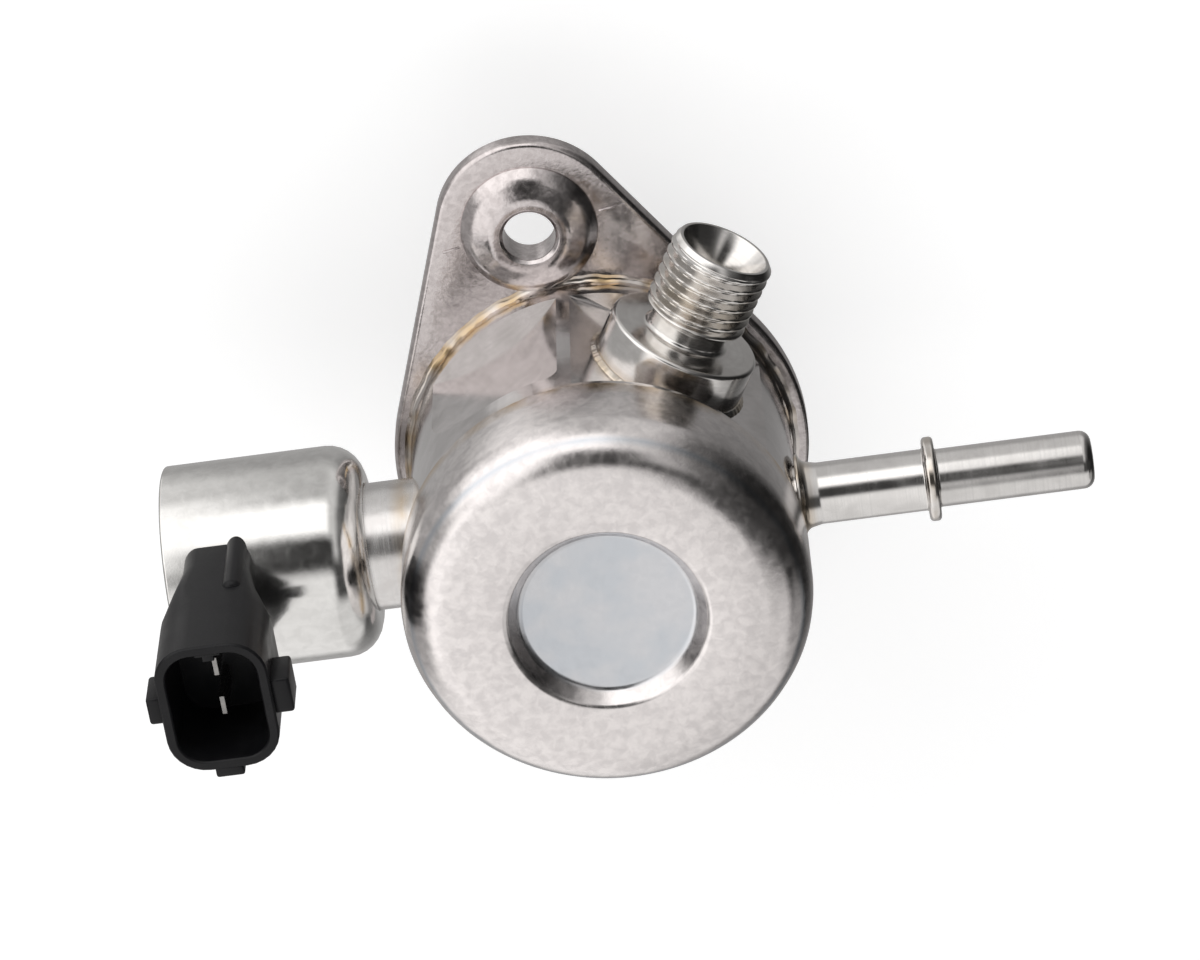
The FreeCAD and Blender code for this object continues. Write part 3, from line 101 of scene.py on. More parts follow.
class NodeBench:
    """Adds and wires the shader nodes of one material."""

    def __init__(self, name: str) -> None:
        """Start a material that has only its shader and its output."""
        self.material: Material = bpy.data.materials.new(name)
        self.material.use_nodes = True
        self.tree = self.material.node_tree
        self.shader: Node = self.tree.nodes["Principled BSDF"]
        self.place: NodeSocket = self.add("ShaderNodeTexCoord").outputs["Object"]

    def add(self, kind: str, **settings: object) -> Node:
        """Add a node and give it its settings.

        Args:
            kind: Blender's name of the node type.
            settings: Attributes of the node and their values.

        Returns:
            The new node.
        """
        node = self.tree.nodes.new(kind)
        for setting, value in settings.items():
            setattr(node, setting, value)
        return node

    def feed(self, socket: NodeSocket, value: object) -> None:
        """Link a socket to another socket, or write a constant into it."""
        if isinstance(value, NodeSocket):
            self.tree.links.new(value, socket)
        else:
            socket.default_value = value

    def math(self, operation: str, *values: object) -> NodeSocket:
        """Return the result of a math node on sockets or numbers."""
        node = self.add("ShaderNodeMath", operation=operation)
        for socket, value in zip(node.inputs, values):
            self.feed(socket, value)
        return node.outputs["Value"]

    def remap(self, value: NodeSocket, source: Span, target: Span) -> NodeSocket:
        """Map a value from one span to another, held inside the second."""
        node = self.add("ShaderNodeMapRange")
        for name, number in zip(("From Min", "From Max", "To Min", "To Max"), source + target):
            node.inputs[name].default_value = number
        self.feed(node.inputs["Value"], value)
        return node.outputs["Result"]

    def noise(self, size: float, detail: float = 3.0, vector: Optional[NodeSocket] = None,
              distortion: float = 0.0) -> NodeSocket:
        """Return a noise pattern.

        Args:
            size: Size of one spot in millimetres.
            detail: Number of finer layers.
            vector: Coordinates to read, or the object's own.
            distortion: How far the pattern is pulled about.

        Returns:
            The pattern's value, near 0.5 on average.
        """
        node = self.add("ShaderNodeTexNoise")
        node.inputs["Scale"].default_value = 1.0 / (size * MM)
        node.inputs["Detail"].default_value = detail
        node.inputs["Distortion"].default_value = distortion
        self.feed(node.inputs["Vector"], vector or self.place)
        return node.outputs["Fac"]

    def local(self, placement: Matrix) -> NodeSocket:
        """Return coordinates measured in a placement, in metres."""
        turned = self.add("ShaderNodeVectorRotate", rotation_type="EULER_XYZ", invert=True)
        moved = self.add("ShaderNodeVectorMath", operation="SUBTRACT")
        self.feed(moved.inputs[0], self.place)
        moved.inputs[1].default_value = placement.to_translation() * MM
        self.feed(turned.inputs["Vector"], moved.outputs["Vector"])
        turned.inputs["Rotation"].default_value = placement.to_euler("XYZ")
        return turned.outputs["Vector"]

    def turned(self, placement: Matrix) -> NodeSocket:
        """Return coordinates that run along a turned surface: its radius and its height."""
        split = self.add("ShaderNodeSeparateXYZ")
        self.feed(split.inputs["Vector"], self.local(placement))
        square = self.math("ADD", self.math("POWER", split.outputs["X"], 2.0),
                           self.math("POWER", split.outputs["Y"], 2.0))
        joined = self.add("ShaderNodeCombineXYZ")
        self.feed(joined.inputs["X"], self.math("SQRT", square))
        self.feed(joined.inputs["Z"], split.outputs["Z"])
        return joined.outputs["Vector"]

    def blend(self, share: object, first: object, second: object) -> NodeSocket:
        """Mix two colours."""
        node = self.add("ShaderNodeMix", data_type="RGBA")
        sockets = [socket for socket in node.inputs if socket.enabled]
        for socket, value in zip(sockets, (share, first, second)):
            if isinstance(value, tuple):
                value = (*value, 1.0)
            self.feed(socket, value)
        return [socket for socket in node.outputs if socket.enabled][0]

    def bump(self, height: NodeSocket, depth: float,
             below: Optional[NodeSocket] = None) -> NodeSocket:
        """Raise a pattern by a depth in millimetres, over an earlier relief."""
        node = self.add("ShaderNodeBump")
        node.inputs["Distance"].default_value = depth * MM
        self.feed(node.inputs["Height"], height)
        if below:
            self.feed(node.inputs["Normal"], below)
        return node.outputs["Normal"]


@dataclass(frozen=True)
class HeatTintAndPaintedShade:
    """A film of colour that fades to both sides of a place along one direction.

    It is laid over welds as heat-tint oxide, and over the dimple's floor as painted bluish shade
    and reflection, darker than the face. Where its patches are thin, the least share of it stays.
    """

    direction: Colour
    place: float
    spread: float
    strength: float = 0.8
    colour: Colour = (0.50, 0.34, 0.15)
    least: float = 0.15

    def lay(self, bench: NodeBench, under: object) -> NodeSocket:
        """Lay the tint over a colour and return the new colour."""
        dot = bench.add("ShaderNodeVectorMath", operation="DOT_PRODUCT")
        bench.feed(dot.inputs[0], bench.place)
        dot.inputs[1].default_value = self.direction
        offset = bench.math("SUBTRACT", dot.outputs["Value"], self.place * MM)
        near = bench.remap(bench.math("ABSOLUTE", offset), (0.0, self.spread * MM),
                           (self.strength, 0.0))
        patchy = bench.remap(bench.noise(5.0, 2.0), (0.38, 0.62), (self.least, 1.0))
        return bench.blend(bench.math("MULTIPLY", near, patchy), under, self.colour)


@dataclass(frozen=True)
class Steel:
    """A metal surface with its mottling, grain, turning marks and films of colour.

    Roughness runs over its span with the mottling. Sizes and depths are in millimetres.
    """

    name: str
    colour: Colour
    shade: Colour
    roughness: Span
    mottle: float = 2.2
    mottle_depth: float = 0.010
    grain: float = 0.22
    grain_depth: float = 0.0025
    marks: float = 0.0
    marks_depth: float = 0.0
    placement: Matrix = field(default_factory=lambda: Matrix.Identity(4))
    tints: tuple[HeatTintAndPaintedShade, ...] = ()
    faint: float = 0.86

    def material(self) -> Material:
        """Build the material."""
        bench = NodeBench(self.name)
        cloud = bench.noise(self.mottle, 5.0, distortion=0.4)
        patches = bench.remap(cloud, (0.36, 0.64), (0.0, 1.0))
        colour = bench.blend(patches, self.shade, self.colour)
        grain = bench.noise(self.grain, 2.0)
        level = bench.remap(cloud, (0.3, 0.7), self.roughness)
        relief = bench.bump(cloud, self.mottle_depth)
        relief = bench.bump(grain, self.grain_depth, relief)
        if self.marks:
            rings = bench.noise(self.marks, 2.0, bench.turned(self.placement))
            relief = bench.bump(rings, self.marks_depth, relief)
            worn = bench.remap(rings, (0.35, 0.65), (0.85, 1.15))
            level = bench.math("MULTIPLY", level, worn)
            faint = tuple(self.faint * part for part in self.colour)
            share = bench.remap(rings, (0.45, 0.7), (0.0, 0.5))
            colour = bench.blend(share, colour, faint)
        # The tints lay heat-tint oxide at welds; the cover's dimple tint is painted bluish shade
        # and reflection.
        for tint in self.tints:
            colour = tint.lay(bench, colour)
        bench.feed(bench.shader.inputs["Base Color"], colour)
        bench.feed(bench.shader.inputs["Roughness"], level)
        bench.feed(bench.shader.inputs["Normal"], relief)
        bench.shader.inputs["Metallic"].default_value = 1.0
        return bench.material


@dataclass(frozen=True)
class Moulding:
    """A moulded plastic or rubber surface with a fine spark-eroded grain."""

    name: str
    colour: Colour
    dust: Colour
    roughness: Span
    grain: float = 0.16
    grain_depth: float = 0.006
    flow: float = 1.1
    flow_depth: float = 0.004
    cloud: float = 3.5
    gloss: float = 0.22

    def material(self) -> Material:
        """Build the material."""
        bench = NodeBench(self.name)
        cloud = bench.noise(self.cloud, 4.0)
        grain = bench.noise(self.grain, 3.0)
        flow = bench.noise(self.flow, 2.0, distortion=0.8)
        dusty = bench.remap(bench.math("MULTIPLY", cloud, grain), (0.22, 0.42), (0.0, 0.6))
        bench.feed(bench.shader.inputs["Base Color"], bench.blend(dusty, self.colour, self.dust))
        bench.feed(bench.shader.inputs["Roughness"], bench.remap(cloud, (0.3, 0.7), self.roughness))
        bench.shader.inputs["Specular IOR Level"].default_value = self.gloss
        relief = bench.bump(flow, self.flow_depth)
        bench.feed(bench.shader.inputs["Normal"], bench.bump(grain, self.grain_depth, relief))
        return bench.material


def towards(azimuth: float) -> Colour:
    """Return the level direction at an azimuth in degrees."""
    angle = math.radians(azimuth)
    return (math.cos(angle), math.sin(angle), 0.0)


UP: Colour = (0.0, 0.0, 1.0)
OUTLET_AZIMUTH = 60.0
OUTLET_Z = 19.33
INLET_Z = 22.74
VALVE_Z = 21.73
OUTLET_AXIS = radial(OUTLET_AZIMUTH, OUTLET_Z)
INLET_AXIS = radial(0.0, INLET_Z)
VALVE_AXIS = radial(180.0, VALVE_Z)

# The cover's first tint is weld heat tint; its second is painted bluish shade and reflection on the
# dimple's floor.
COVER_STEEL = Steel(
    "cover_satin", (0.80, 0.765, 0.755), (0.66, 0.63, 0.625), (0.17, 0.27), mottle=1.4,
    mottle_depth=0.012, grain=0.3, grain_depth=0.004,
    tints=(HeatTintAndPaintedShade(UP, 34.6, 2.6, 0.75), HeatTintAndPaintedShade(UP, 47.2, 0.6, 1.0, (0.56, 0.585, 0.62), 0.7)))
HOUSING_STEEL = Steel(
    "housing_turned", (0.70, 0.675, 0.67), (0.58, 0.56, 0.55), (0.09, 0.18), mottle=4.0,
    mottle_depth=0.006, marks=0.5, marks_depth=0.0015,
    tints=(HeatTintAndPaintedShade(UP, 3.4, 2.2, 0.85), HeatTintAndPaintedShade(UP, 34.2, 2.4, 0.6)))
FLANGE_STEEL = Steel(
    "flange_satin", (0.66, 0.615, 0.61), (0.52, 0.48, 0.475), (0.15, 0.24), mottle=1.0,
    mottle_depth=0.010, grain=0.5, grain_depth=0.014)
CAN_STEEL = Steel(
    "can_mottled", (0.76, 0.755, 0.74), (0.68, 0.675, 0.66), (0.10, 0.18), mottle=1.8,
    mottle_depth=0.006, grain=0.28, grain_depth=0.003, placement=VALVE_AXIS)
NECK_STEEL = Steel(
    "neck_turned", (0.72, 0.71, 0.70), (0.62, 0.60, 0.59), (0.20, 0.28), mottle=3.0,
    mottle_depth=0.004, marks=0.4, marks_depth=0.002, placement=VALVE_AXIS,
    tints=(HeatTintAndPaintedShade(towards(180.0), 26.6, 2.0, 0.5),))
PORT_STEEL = Steel(
    "port_turned", (0.78, 0.765, 0.745), (0.68, 0.66, 0.64), (0.12, 0.22), mottle=3.0,
    mottle_depth=0.004, marks=0.35, marks_depth=0.0012, placement=OUTLET_AXIS,
    tints=(HeatTintAndPaintedShade(towards(OUTLET_AZIMUTH), 22.2, 2.2, 0.7),
           HeatTintAndPaintedShade(towards(OUTLET_AZIMUTH), 35.5, 6.0, 0.35, (0.42, 0.33, 0.2))))
TUBE_STEEL = Steel(
    "tube_drawn", (0.78, 0.765, 0.75), (0.70, 0.685, 0.67), (0.13, 0.22), mottle=3.0,
    mottle_depth=0.005, marks=0.3, marks_depth=0.0012, placement=INLET_AXIS,
    tints=(HeatTintAndPaintedShade(towards(0.0), 26.8, 2.2, 0.7), HeatTintAndPaintedShade(towards(0.0), 44.7, 1.2, 0.35)))
GROUND_STEEL = Steel(
    "hard_ground", (0.66, 0.66, 0.67), (0.58, 0.58, 0.59), (0.14, 0.22), mottle=3.0,
    mottle_depth=0.003, marks=0.18, marks_depth=0.0012)
SPRING_STEEL = Steel(
    "spring_wire", (0.40, 0.40, 0.41), (0.29, 0.285, 0.28), (0.28, 0.42), mottle=1.2,
    mottle_depth=0.006, grain=0.12, grain_depth=0.003)
SHEET_STEEL = Steel(
    "thin_sheet", (0.78, 0.78, 0.77), (0.70, 0.70, 0.69), (0.16, 0.26), mottle=2.6,
    mottle_depth=0.008, marks=0.5, marks_depth=0.001)
COPPER = Steel(
    "enamelled_copper", (0.78, 0.38, 0.20), (0.60, 0.26, 0.13), (0.22, 0.34), mottle=1.0,
    marks=0.6, marks_depth=0.02, placement=VALVE_AXIS)
TIN = Steel(
    "tin_plate", (0.34, 0.33, 0.32), (0.26, 0.255, 0.25), (0.22, 0.34), mottle=0.8,
    mottle_depth=0.004, grain=0.1)
BLACK_PLASTIC = Moulding(
    "connector_moulding", (0.006, 0.006, 0.007), (0.016, 0.016, 0.017), (0.28, 0.42))
BOBBIN_PLASTIC = Moulding(
    "bobbin_moulding", (0.09, 0.09, 0.09), (0.14, 0.14, 0.14), (0.38, 0.52))
SEAL_POLYMER = Moulding(
    "seal_polymer", (0.22, 0.19, 0.15), (0.30, 0.27, 0.22), (0.36, 0.50))
RUBBER = Moulding(
    "ring_rubber", (0.014, 0.014, 0.014), (0.04, 0.04, 0.04), (0.42, 0.60), 0.1, 0.003)


class Workpiece:
    """A mesh on the bench: it is shaped in millimetres and finished in metres."""

    def __init__(self, name: str) -> None:
        """Start an empty mesh."""
        self.name = name
        self.mesh = bmesh.new()

    def fresh(self, work: Callable[[], object]) -> list[BMVert]:
        """Run one step of work and return the vertices that it adds."""
        before = set(self.mesh.verts)
        work()
        return [vert for vert in self.mesh.verts if vert not in before]

    def outline(self, points: Sequence[Sequence[float]], roundings: Sequence[float],
                closed: bool, steps: int = ROUND_STEPS) -> list[BMVert]:
        """Draw a line through points and round its corners.

        Args:
            points: Corners of the line.
            roundings: Radius of each corner, 0 for a sharp one.
            closed: Whether the last corner joins the first.
            steps: Edges in each rounded corner.

        Returns:
            The vertices of the line.
        """
        places = [Vector(point) for point in points]
        count = len(places)
        before = set(self.mesh.verts)
        verts = [self.mesh.verts.new(place) for place in places]
        for index in range(count if closed else count - 1):
            self.mesh.edges.new((verts[index], verts[(index + 1) % count]))
        for index, radius in enumerate(roundings):
            if radius <= 0.0:
                continue
            back = places[index - 1] - places[index]
            onward = places[(index + 1) % count] - places[index]
            setback = radius / math.tan(back.angle(onward) / 2.0)
            bmesh.ops.bevel(
                self.mesh, geom=[verts[index]], offset=setback, offset_type="OFFSET",
                segments=steps, profile=0.5, affect="VERTICES", material=-1)
        return [vert for vert in self.mesh.verts if vert not in before]

    def turn(self, corners: Sequence[Corner], closed: bool = True, steps: int = TURN_STEPS,
             cuts: Optional[dict[int, int]] = None) -> list[BMVert]:
        """Turn a profile about the Z axis.

        Args:
            corners: The profile, in the plane of X and Z.
            closed: Whether the last corner joins the first.
            steps: Faces in one turn.
            cuts: How often the line after a corner is divided, by the corner's number.

        Returns:
            The vertices of the turned shape.
        """
        before = set(self.mesh.verts)
        points = [(corner.radius, 0.0, corner.height) for corner in corners]
        line = self.outline(points, [corner.rounding for corner in corners], closed)
        for index, number in (cuts or {}).items():
            middle = (Vector(points[index]) + Vector(points[index + 1])) / 2.0
            nearest = min(self.edges_of(line), key=lambda edge: (
                (edge.verts[0].co + edge.verts[1].co) / 2.0 - middle).length)
            bmesh.ops.subdivide_edges(self.mesh, edges=[nearest], cuts=number)
            line = [vert for vert in self.mesh.verts if vert not in before]
        bmesh.ops.spin(
            self.mesh, geom=line + self.edges_of(line), cent=(0.0, 0.0, 0.0), axis=UP,
            dvec=(0.0, 0.0, 0.0), angle=math.tau, steps=steps, use_merge=True,
            use_normal_flip=False, use_duplicate=False)
        turned = [vert for vert in self.mesh.verts if vert not in before]
        bmesh.ops.remove_doubles(self.mesh, verts=turned, dist=MERGE_DISTANCE)
        return [vert for vert in turned if vert.is_valid]

    def block(self, low: Sequence[float], high: Sequence[float], ease: float = 0.0,
              steps: int = 2) -> list[BMVert]:
        """Add a block between two corners, with its edges eased."""
        size = Vector(high) - Vector(low)
        middle = (Vector(high) + Vector(low)) / 2.0
        matrix = Matrix.Translation(middle) @ Matrix.Diagonal((*size, 1.0))

        def work() -> None:
            made = bmesh.ops.create_cube(self.mesh, size=1.0, matrix=matrix)["verts"]
            if ease > 0.0:
                edges = list({edge for vert in made for edge in vert.link_edges})
                bmesh.ops.bevel(self.mesh, geom=edges, offset=ease, segments=steps,
                                profile=0.5, affect="EDGES", material=-1)

        return self.fresh(work)

    def edges_of(self, verts: Sequence[BMVert]) -> list[BMEdge]:
        """Return the edges that have both ends among the given vertices."""
        inside = set(verts)
        found = {edge for vert in verts for edge in vert.link_edges}
        return [edge for edge in found if edge.verts[0] in inside and edge.verts[1] in inside]

    def bridge(self, first: Sequence[BMVert], second: Sequence[BMVert]) -> None:
        """Join two rings of vertices with faces."""
        bmesh.ops.bridge_loops(self.mesh, edges=self.edges_of(first) + self.edges_of(second))

    def fill(self, *rings: Sequence[BMVert]) -> list[BMFace]:
        """Fill the flat area between rings with faces."""
        edges = [edge for ring in rings for edge in self.edges_of(ring)]
        made = bmesh.ops.triangle_fill(self.mesh, edges=edges, use_beauty=True)
        return [item for item in made["geom"] if isinstance(item, BMFace)]

    def place(self, verts: Sequence[BMVert], placement: Matrix) -> None:
        """Move vertices to a placement."""
        bmesh.ops.transform(self.mesh, matrix=placement, verts=list(verts))

    def ripple(self, radius: float, waves: Span, *wanders: Span, above: float = -math.inf,
               beyond: float = 0.0, lift: float = 0.0) -> None:
        """Make a weld about the Z axis uneven.

        Args:
            radius: The weld's radius.
            waves: Number of even waves round the axis, and their height.
            wanders: Rate and height of each slower unevenness.
            above: Height up to which it stays even.
            beyond: Radius up to which it stays even.
            lift: Share of the unevenness that also raises it.
        """
        number, height = waves
        for vert in self.mesh.verts:
            place = vert.co.copy()
            if place.z <= above or place.xy.length <= beyond:
                continue
            swell = height * math.sin(number * math.atan2(place.y, place.x))
            swell += sum(size * noise.noise(place * rate) for rate, size in wanders)
            vert.co.xy *= 1.0 + swell / radius
            vert.co.z += lift * swell

    def finish(self, look: Steel | Moulding, body: Body, slot: str, *nodes: str,
               placement: Optional[Matrix] = None, sharp: float = SHARP_ANGLE) -> Object:
        """Turn the mesh into a finished piece of the model.

        Args:
            look: The piece's surface.
            body: The body that it rides on.
            slot: Not used.
            nodes: The solids that it stands for.
            placement: Where it goes, in millimetres.
            sharp: Angle in degrees past which an edge stays sharp.

        Returns:
            The new object.
        """
        verts = self.mesh.verts[:]
        if placement:
            self.place(verts, placement)
        bmesh.ops.remove_doubles(self.mesh, verts=verts, dist=MERGE_DISTANCE)
        bmesh.ops.recalc_face_normals(self.mesh, faces=self.mesh.faces[:])
        bmesh.ops.scale(self.mesh, vec=(MM, MM, MM), verts=self.mesh.verts[:])
        data = bpy.data.meshes.new(self.name)
        self.mesh.to_mesh(data)
        self.mesh.free()
        data.shade_smooth()
        data.set_sharp_from_angle(angle=math.radians(sharp))
        data.materials.append(made(look))
        piece = bpy.data.objects.new(self.name, data)
        bpy.context.scene.collection.objects.link(piece)
        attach(piece, body.value)
        if nodes:
            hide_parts(*nodes)
        LOG.info("%s: %d faces", self.name, len(data.polygons))
        return piece


def ease_edges(piece: Object, width: float, sharp: float = SHARP_ANGLE) -> None:
    """Break the edges sharper than an angle in degrees by a width in millimetres."""
    modifier = piece.modifiers.new("eased_edges", "BEVEL")
    modifier.width = width * MM
    modifier.segments = 2
    modifier.limit_method = "ANGLE"
    modifier.angle_limit = math.radians(sharp)
    modifier.harden_normals = True


@dataclass
class DamperCover:
    """The drawn cup over the damper, with its dimple, its weld and the capsule inside."""

    radius: float = 27.27
    wall: float = 1.2
    edge_z: float = 34.3
    top_z: float = 49.5
    shoulder: float = 6.3
    rim_radius: float = 13.3
    floor_radius: float = 11.7
    depth: float = 2.3
    dimple_round: float = 1.1
    edge_round: float = 0.25
    weld_section: float = 0.42
    weld_inset: float = 0.55
    weld_drop: float = 0.05
    weld_waves: Span = (90.0, 0.05)
    weld_wander: Span = (0.5, 0.10)
    weld_steps: int = 420
    steps: int = 192

    def cup(self) -> Object:
        """Turn the cup, inside and outside."""
        part = Workpiece("damper_cup")
        inner = self.wall
        floor = self.top_z - self.depth
        part.turn([
            Corner(self.radius, self.edge_z, self.edge_round),
            Corner(self.radius, self.top_z, self.shoulder),
            Corner(self.rim_radius, self.top_z, self.dimple_round),
            Corner(self.floor_radius, floor, self.dimple_round),
            Corner(0.0, floor),
            Corner(0.0, floor - inner),
            Corner(self.floor_radius, floor - inner, self.dimple_round),
            Corner(self.rim_radius, self.top_z - inner, self.dimple_round),
            Corner(self.radius - inner, self.top_z - inner, self.shoulder - inner),
            Corner(self.radius - inner, self.edge_z),
        ], steps=self.steps)
        return part.finish(COVER_STEEL, Body.ROOT, "cover_steel", "damper_cover")

    def weld(self) -> Object:
        """Lay the rippled weld between the cup's edge and the housing's shoulder."""
        part = Workpiece("cover_weld")
        middle = Vector((self.radius - self.weld_inset, 0.0, self.edge_z - self.weld_drop))
        ring = bmesh.ops.create_circle(
            part.mesh, cap_ends=False, radius=self.weld_section, segments=10,
            matrix=Matrix.Translation(middle) @ Matrix.Rotation(math.pi / 2, 4, "X"))["verts"]
        bmesh.ops.spin(part.mesh, geom=ring + part.edges_of(ring), cent=(0.0, 0.0, 0.0),
                       axis=UP, dvec=(0.0, 0.0, 0.0), angle=math.tau, steps=self.weld_steps,
                       use_merge=True, use_normal_flip=False, use_duplicate=False)
        part.ripple(self.radius, self.weld_waves, self.weld_wander, lift=1.0)
        return part.finish(COVER_STEEL, Body.ROOT, "cover_steel", sharp=WELD_SHARP_ANGLE)

    def build(self) -> None:
        """Build the cover and dress the capsule inside it."""
        self.cup()
        self.weld()
        dress(SHEET_STEEL, "damper_upper_membrane", "damper_lower_membrane")
        dress(GROUND_STEEL, "damper_support_ring", "damper_spring_ring")


@dataclass
class FlangePlate:
    """The pressed mounting flange with its two ears and raised bolt seats."""

    thickness: float = 3.0
    radius: float = 29.0
    ear_radius: float = 12.8
    ear_azimuth: float = 98.25
    bolt_circle: float = 35.9
    hole_radius: float = 3.6
    pilot_radius: float = 18.92
    edge_round: float = 0.8
    boss_radius: float = 9.4
    boss_shoulder: float = 8.1
    boss_shoulder_height: float = 1.5
    boss_crest: float = 5.3
    boss_height: float = 2.7
    boss_round: float = 3.2
    boss_foot: float = 0.3
    rim_chamfer: float = 0.5
    rim_round: float = 0.25
    hole_chamfer: float = 0.3
    foot_chamfer: float = 0.25
    line_reach: Span = (9.9, 12.3)
    line_half: float = 0.2
    line_height: float = 0.2
    line_round: float = 0.1
    arc_steps: int = 48
    edge_steps: int = 5
    hole_steps: int = 96
    pilot_steps: int = 144

    def ears(self) -> list[Vector]:
        """Return the centres of the two bolt holes."""
        return [Vector(towards(self.ear_azimuth + turn)) * self.bolt_circle
                for turn in (0.0, 180.0)]

    def plate_points(self, inset: float, height: float) -> list[Vector]:
        """Return the flange's outline: arcs about the axis and both ears, joined by tangents."""
        lean = math.degrees(math.acos((self.radius - self.ear_radius) / self.bolt_circle))
        points = []
        for turn, ear in zip((0.0, 180.0), self.ears()):
            middle = self.ear_azimuth + turn
            spans = ((ear, self.ear_radius, middle - lean, middle + lean),
                     (Vector(), self.radius, middle + lean, middle + 180.0 - lean))
            for centre, reach, start, stop in spans:
                for step in range(self.arc_steps + 1):
                    angle = start + (stop - start) * step / self.arc_steps
                    points.append(centre + Vector(towards(angle)) * (reach - inset)
                                  + Vector((0.0, 0.0, height)))
        return points

    def ring(self, part: Workpiece, inset: float, height: float) -> list[BMVert]:
        """Draw the outline at an inset and a height."""
        points = self.plate_points(inset, height)
        return part.outline(points, [0.0] * len(points), closed=True)

    def pilot(self, part: Workpiece, height: float) -> list[BMVert]:
        """Draw the circle of the opening for the housing's pilot at a height."""
        return bmesh.ops.create_circle(
            part.mesh, cap_ends=False, radius=self.pilot_radius, segments=self.pilot_steps,
            matrix=Matrix.Translation((0.0, 0.0, height)))["verts"]

    def plate(self) -> Object:
        """Build the plate with its rounded rim, its openings and its bolt seats."""
        part = Workpiece("flange_plate")
        top = self.thickness
        rings = [self.ring(part, self.foot_chamfer, 0.0), self.ring(part, 0.0, self.foot_chamfer)]
        for step in range(self.edge_steps + 1):
            angle = math.pi / 2 * step / self.edge_steps
            inset = self.edge_round * (1.0 - math.cos(angle))
            rings.append(self.ring(part, inset, top - self.edge_round * (1.0 - math.sin(angle))))
        for below, above in zip(rings, rings[1:]):
            part.bridge(below, above)
        pilot = [self.pilot(part, height) for height in (0.0, top)]
        part.bridge(*pilot)
        seats = [self.seat(part, ear) for ear in self.ears()]
        part.fill(rings[-1], pilot[1], *[foot for foot, _ in seats])
        part.fill(rings[0], pilot[0], *[hole for _, hole in seats])
        return part.finish(FLANGE_STEEL, Body.ROOT, "flange_steel", "mounting_flange")

    def seat(self, part: Workpiece, ear: Vector) -> tuple[list[BMVert], list[BMVert]]:
        """Turn a domed bolt seat and its hole.

        Args:
            part: The plate.
            ear: The hole's centre.

        Returns:
            The ring at the seat's foot and the ring at the hole's lower end.
        """
        top = self.thickness
        crest = top + self.boss_height
        verts = part.turn([
            Corner(self.boss_radius, top),
            Corner(self.boss_radius - 0.1, top + self.boss_foot, 0.2),
            Corner(self.boss_shoulder, top + self.boss_shoulder_height, self.boss_round),
            Corner(self.boss_crest, crest, self.boss_round),
            Corner(self.hole_radius + self.rim_chamfer, crest, self.rim_round),
            Corner(self.hole_radius, crest - self.rim_chamfer, self.rim_round),
            Corner(self.hole_radius, self.hole_chamfer, 0.1),
            Corner(self.hole_radius + self.hole_chamfer, 0.0),
        ], closed=False, steps=self.hole_steps)
        foot = [vert for vert in verts if vert.co.xy.length > self.boss_radius - MERGE_DISTANCE]
        hole = [vert for vert in verts if vert.co.z < MERGE_DISTANCE]
        part.place(verts, Matrix.Translation(ear))
        return foot, hole

    def witness_lines(self) -> Object:
        """Raise the thin forming lines across the ears, beside each bolt seat."""
        part = Workpiece("flange_forming_lines")
        near, far = self.line_reach
        for ear in self.ears():
            for side in (90.0, -90.0):
                verts = part.block(
                    (near, -self.line_half, self.thickness - self.line_round),
                    (far, self.line_half, self.thickness + self.line_height), self.line_round)
                swing = Matrix.Rotation(math.radians(self.ear_azimuth + side), 4, "Z")
                part.place(verts, Matrix.Translation(ear) @ swing)
        return part.finish(FLANGE_STEEL, Body.ROOT, "flange_steel")

    def build(self) -> None:
        """Build the flange."""
        self.plate()
        self.witness_lines()


@dataclass
class HousingBlock:
    """The steel block: its own solid with eased edges, and the weld that holds the flange."""

    radius: float = 26.5
    foot_z: float = 3.0
    weld_leg: float = 1.1
    weld_root: float = 0.4
    weld_sink: float = 0.3
    weld_toe: float = 0.05
    weld_throat: float = 0.25
    weld_hollow: float = 0.9
    weld_steps: int = 360
    edge_width: float = 0.15
    flat_angle: float = 12.0

    def weld(self) -> Object:
        """Lay the concave weld between the flange and the housing."""
        part = Workpiece("flange_weld")
        root, reach = self.radius - self.weld_root, self.radius + self.weld_leg
        foot, top = self.foot_z - self.weld_sink, self.foot_z + self.weld_leg
        part.turn([
            Corner(root, foot),
            Corner(reach, foot),
            Corner(reach, self.foot_z + self.weld_toe),
            Corner(self.radius + self.weld_throat, self.foot_z + self.weld_throat,
                   self.weld_hollow),
            Corner(self.radius + self.weld_toe, top),
            Corner(root, top),
        ], steps=self.weld_steps)
        part.ripple(self.radius, (0.0, 0.0), (0.45, 0.22), (1.6, 0.07),
                    above=self.foot_z, beyond=self.radius)
        return part.finish(HOUSING_STEEL, Body.ROOT, "housing_steel", sharp=WELD_SHARP_ANGLE)

    def build(self) -> None:
        """Build the housing and its weld."""
        eased_copy("pump_housing", "housing_block", HOUSING_STEEL, "housing_steel",
                   self.edge_width, sharp=self.flat_angle)
        self.weld()
        dress(GROUND_STEEL, "cylinder_liner")


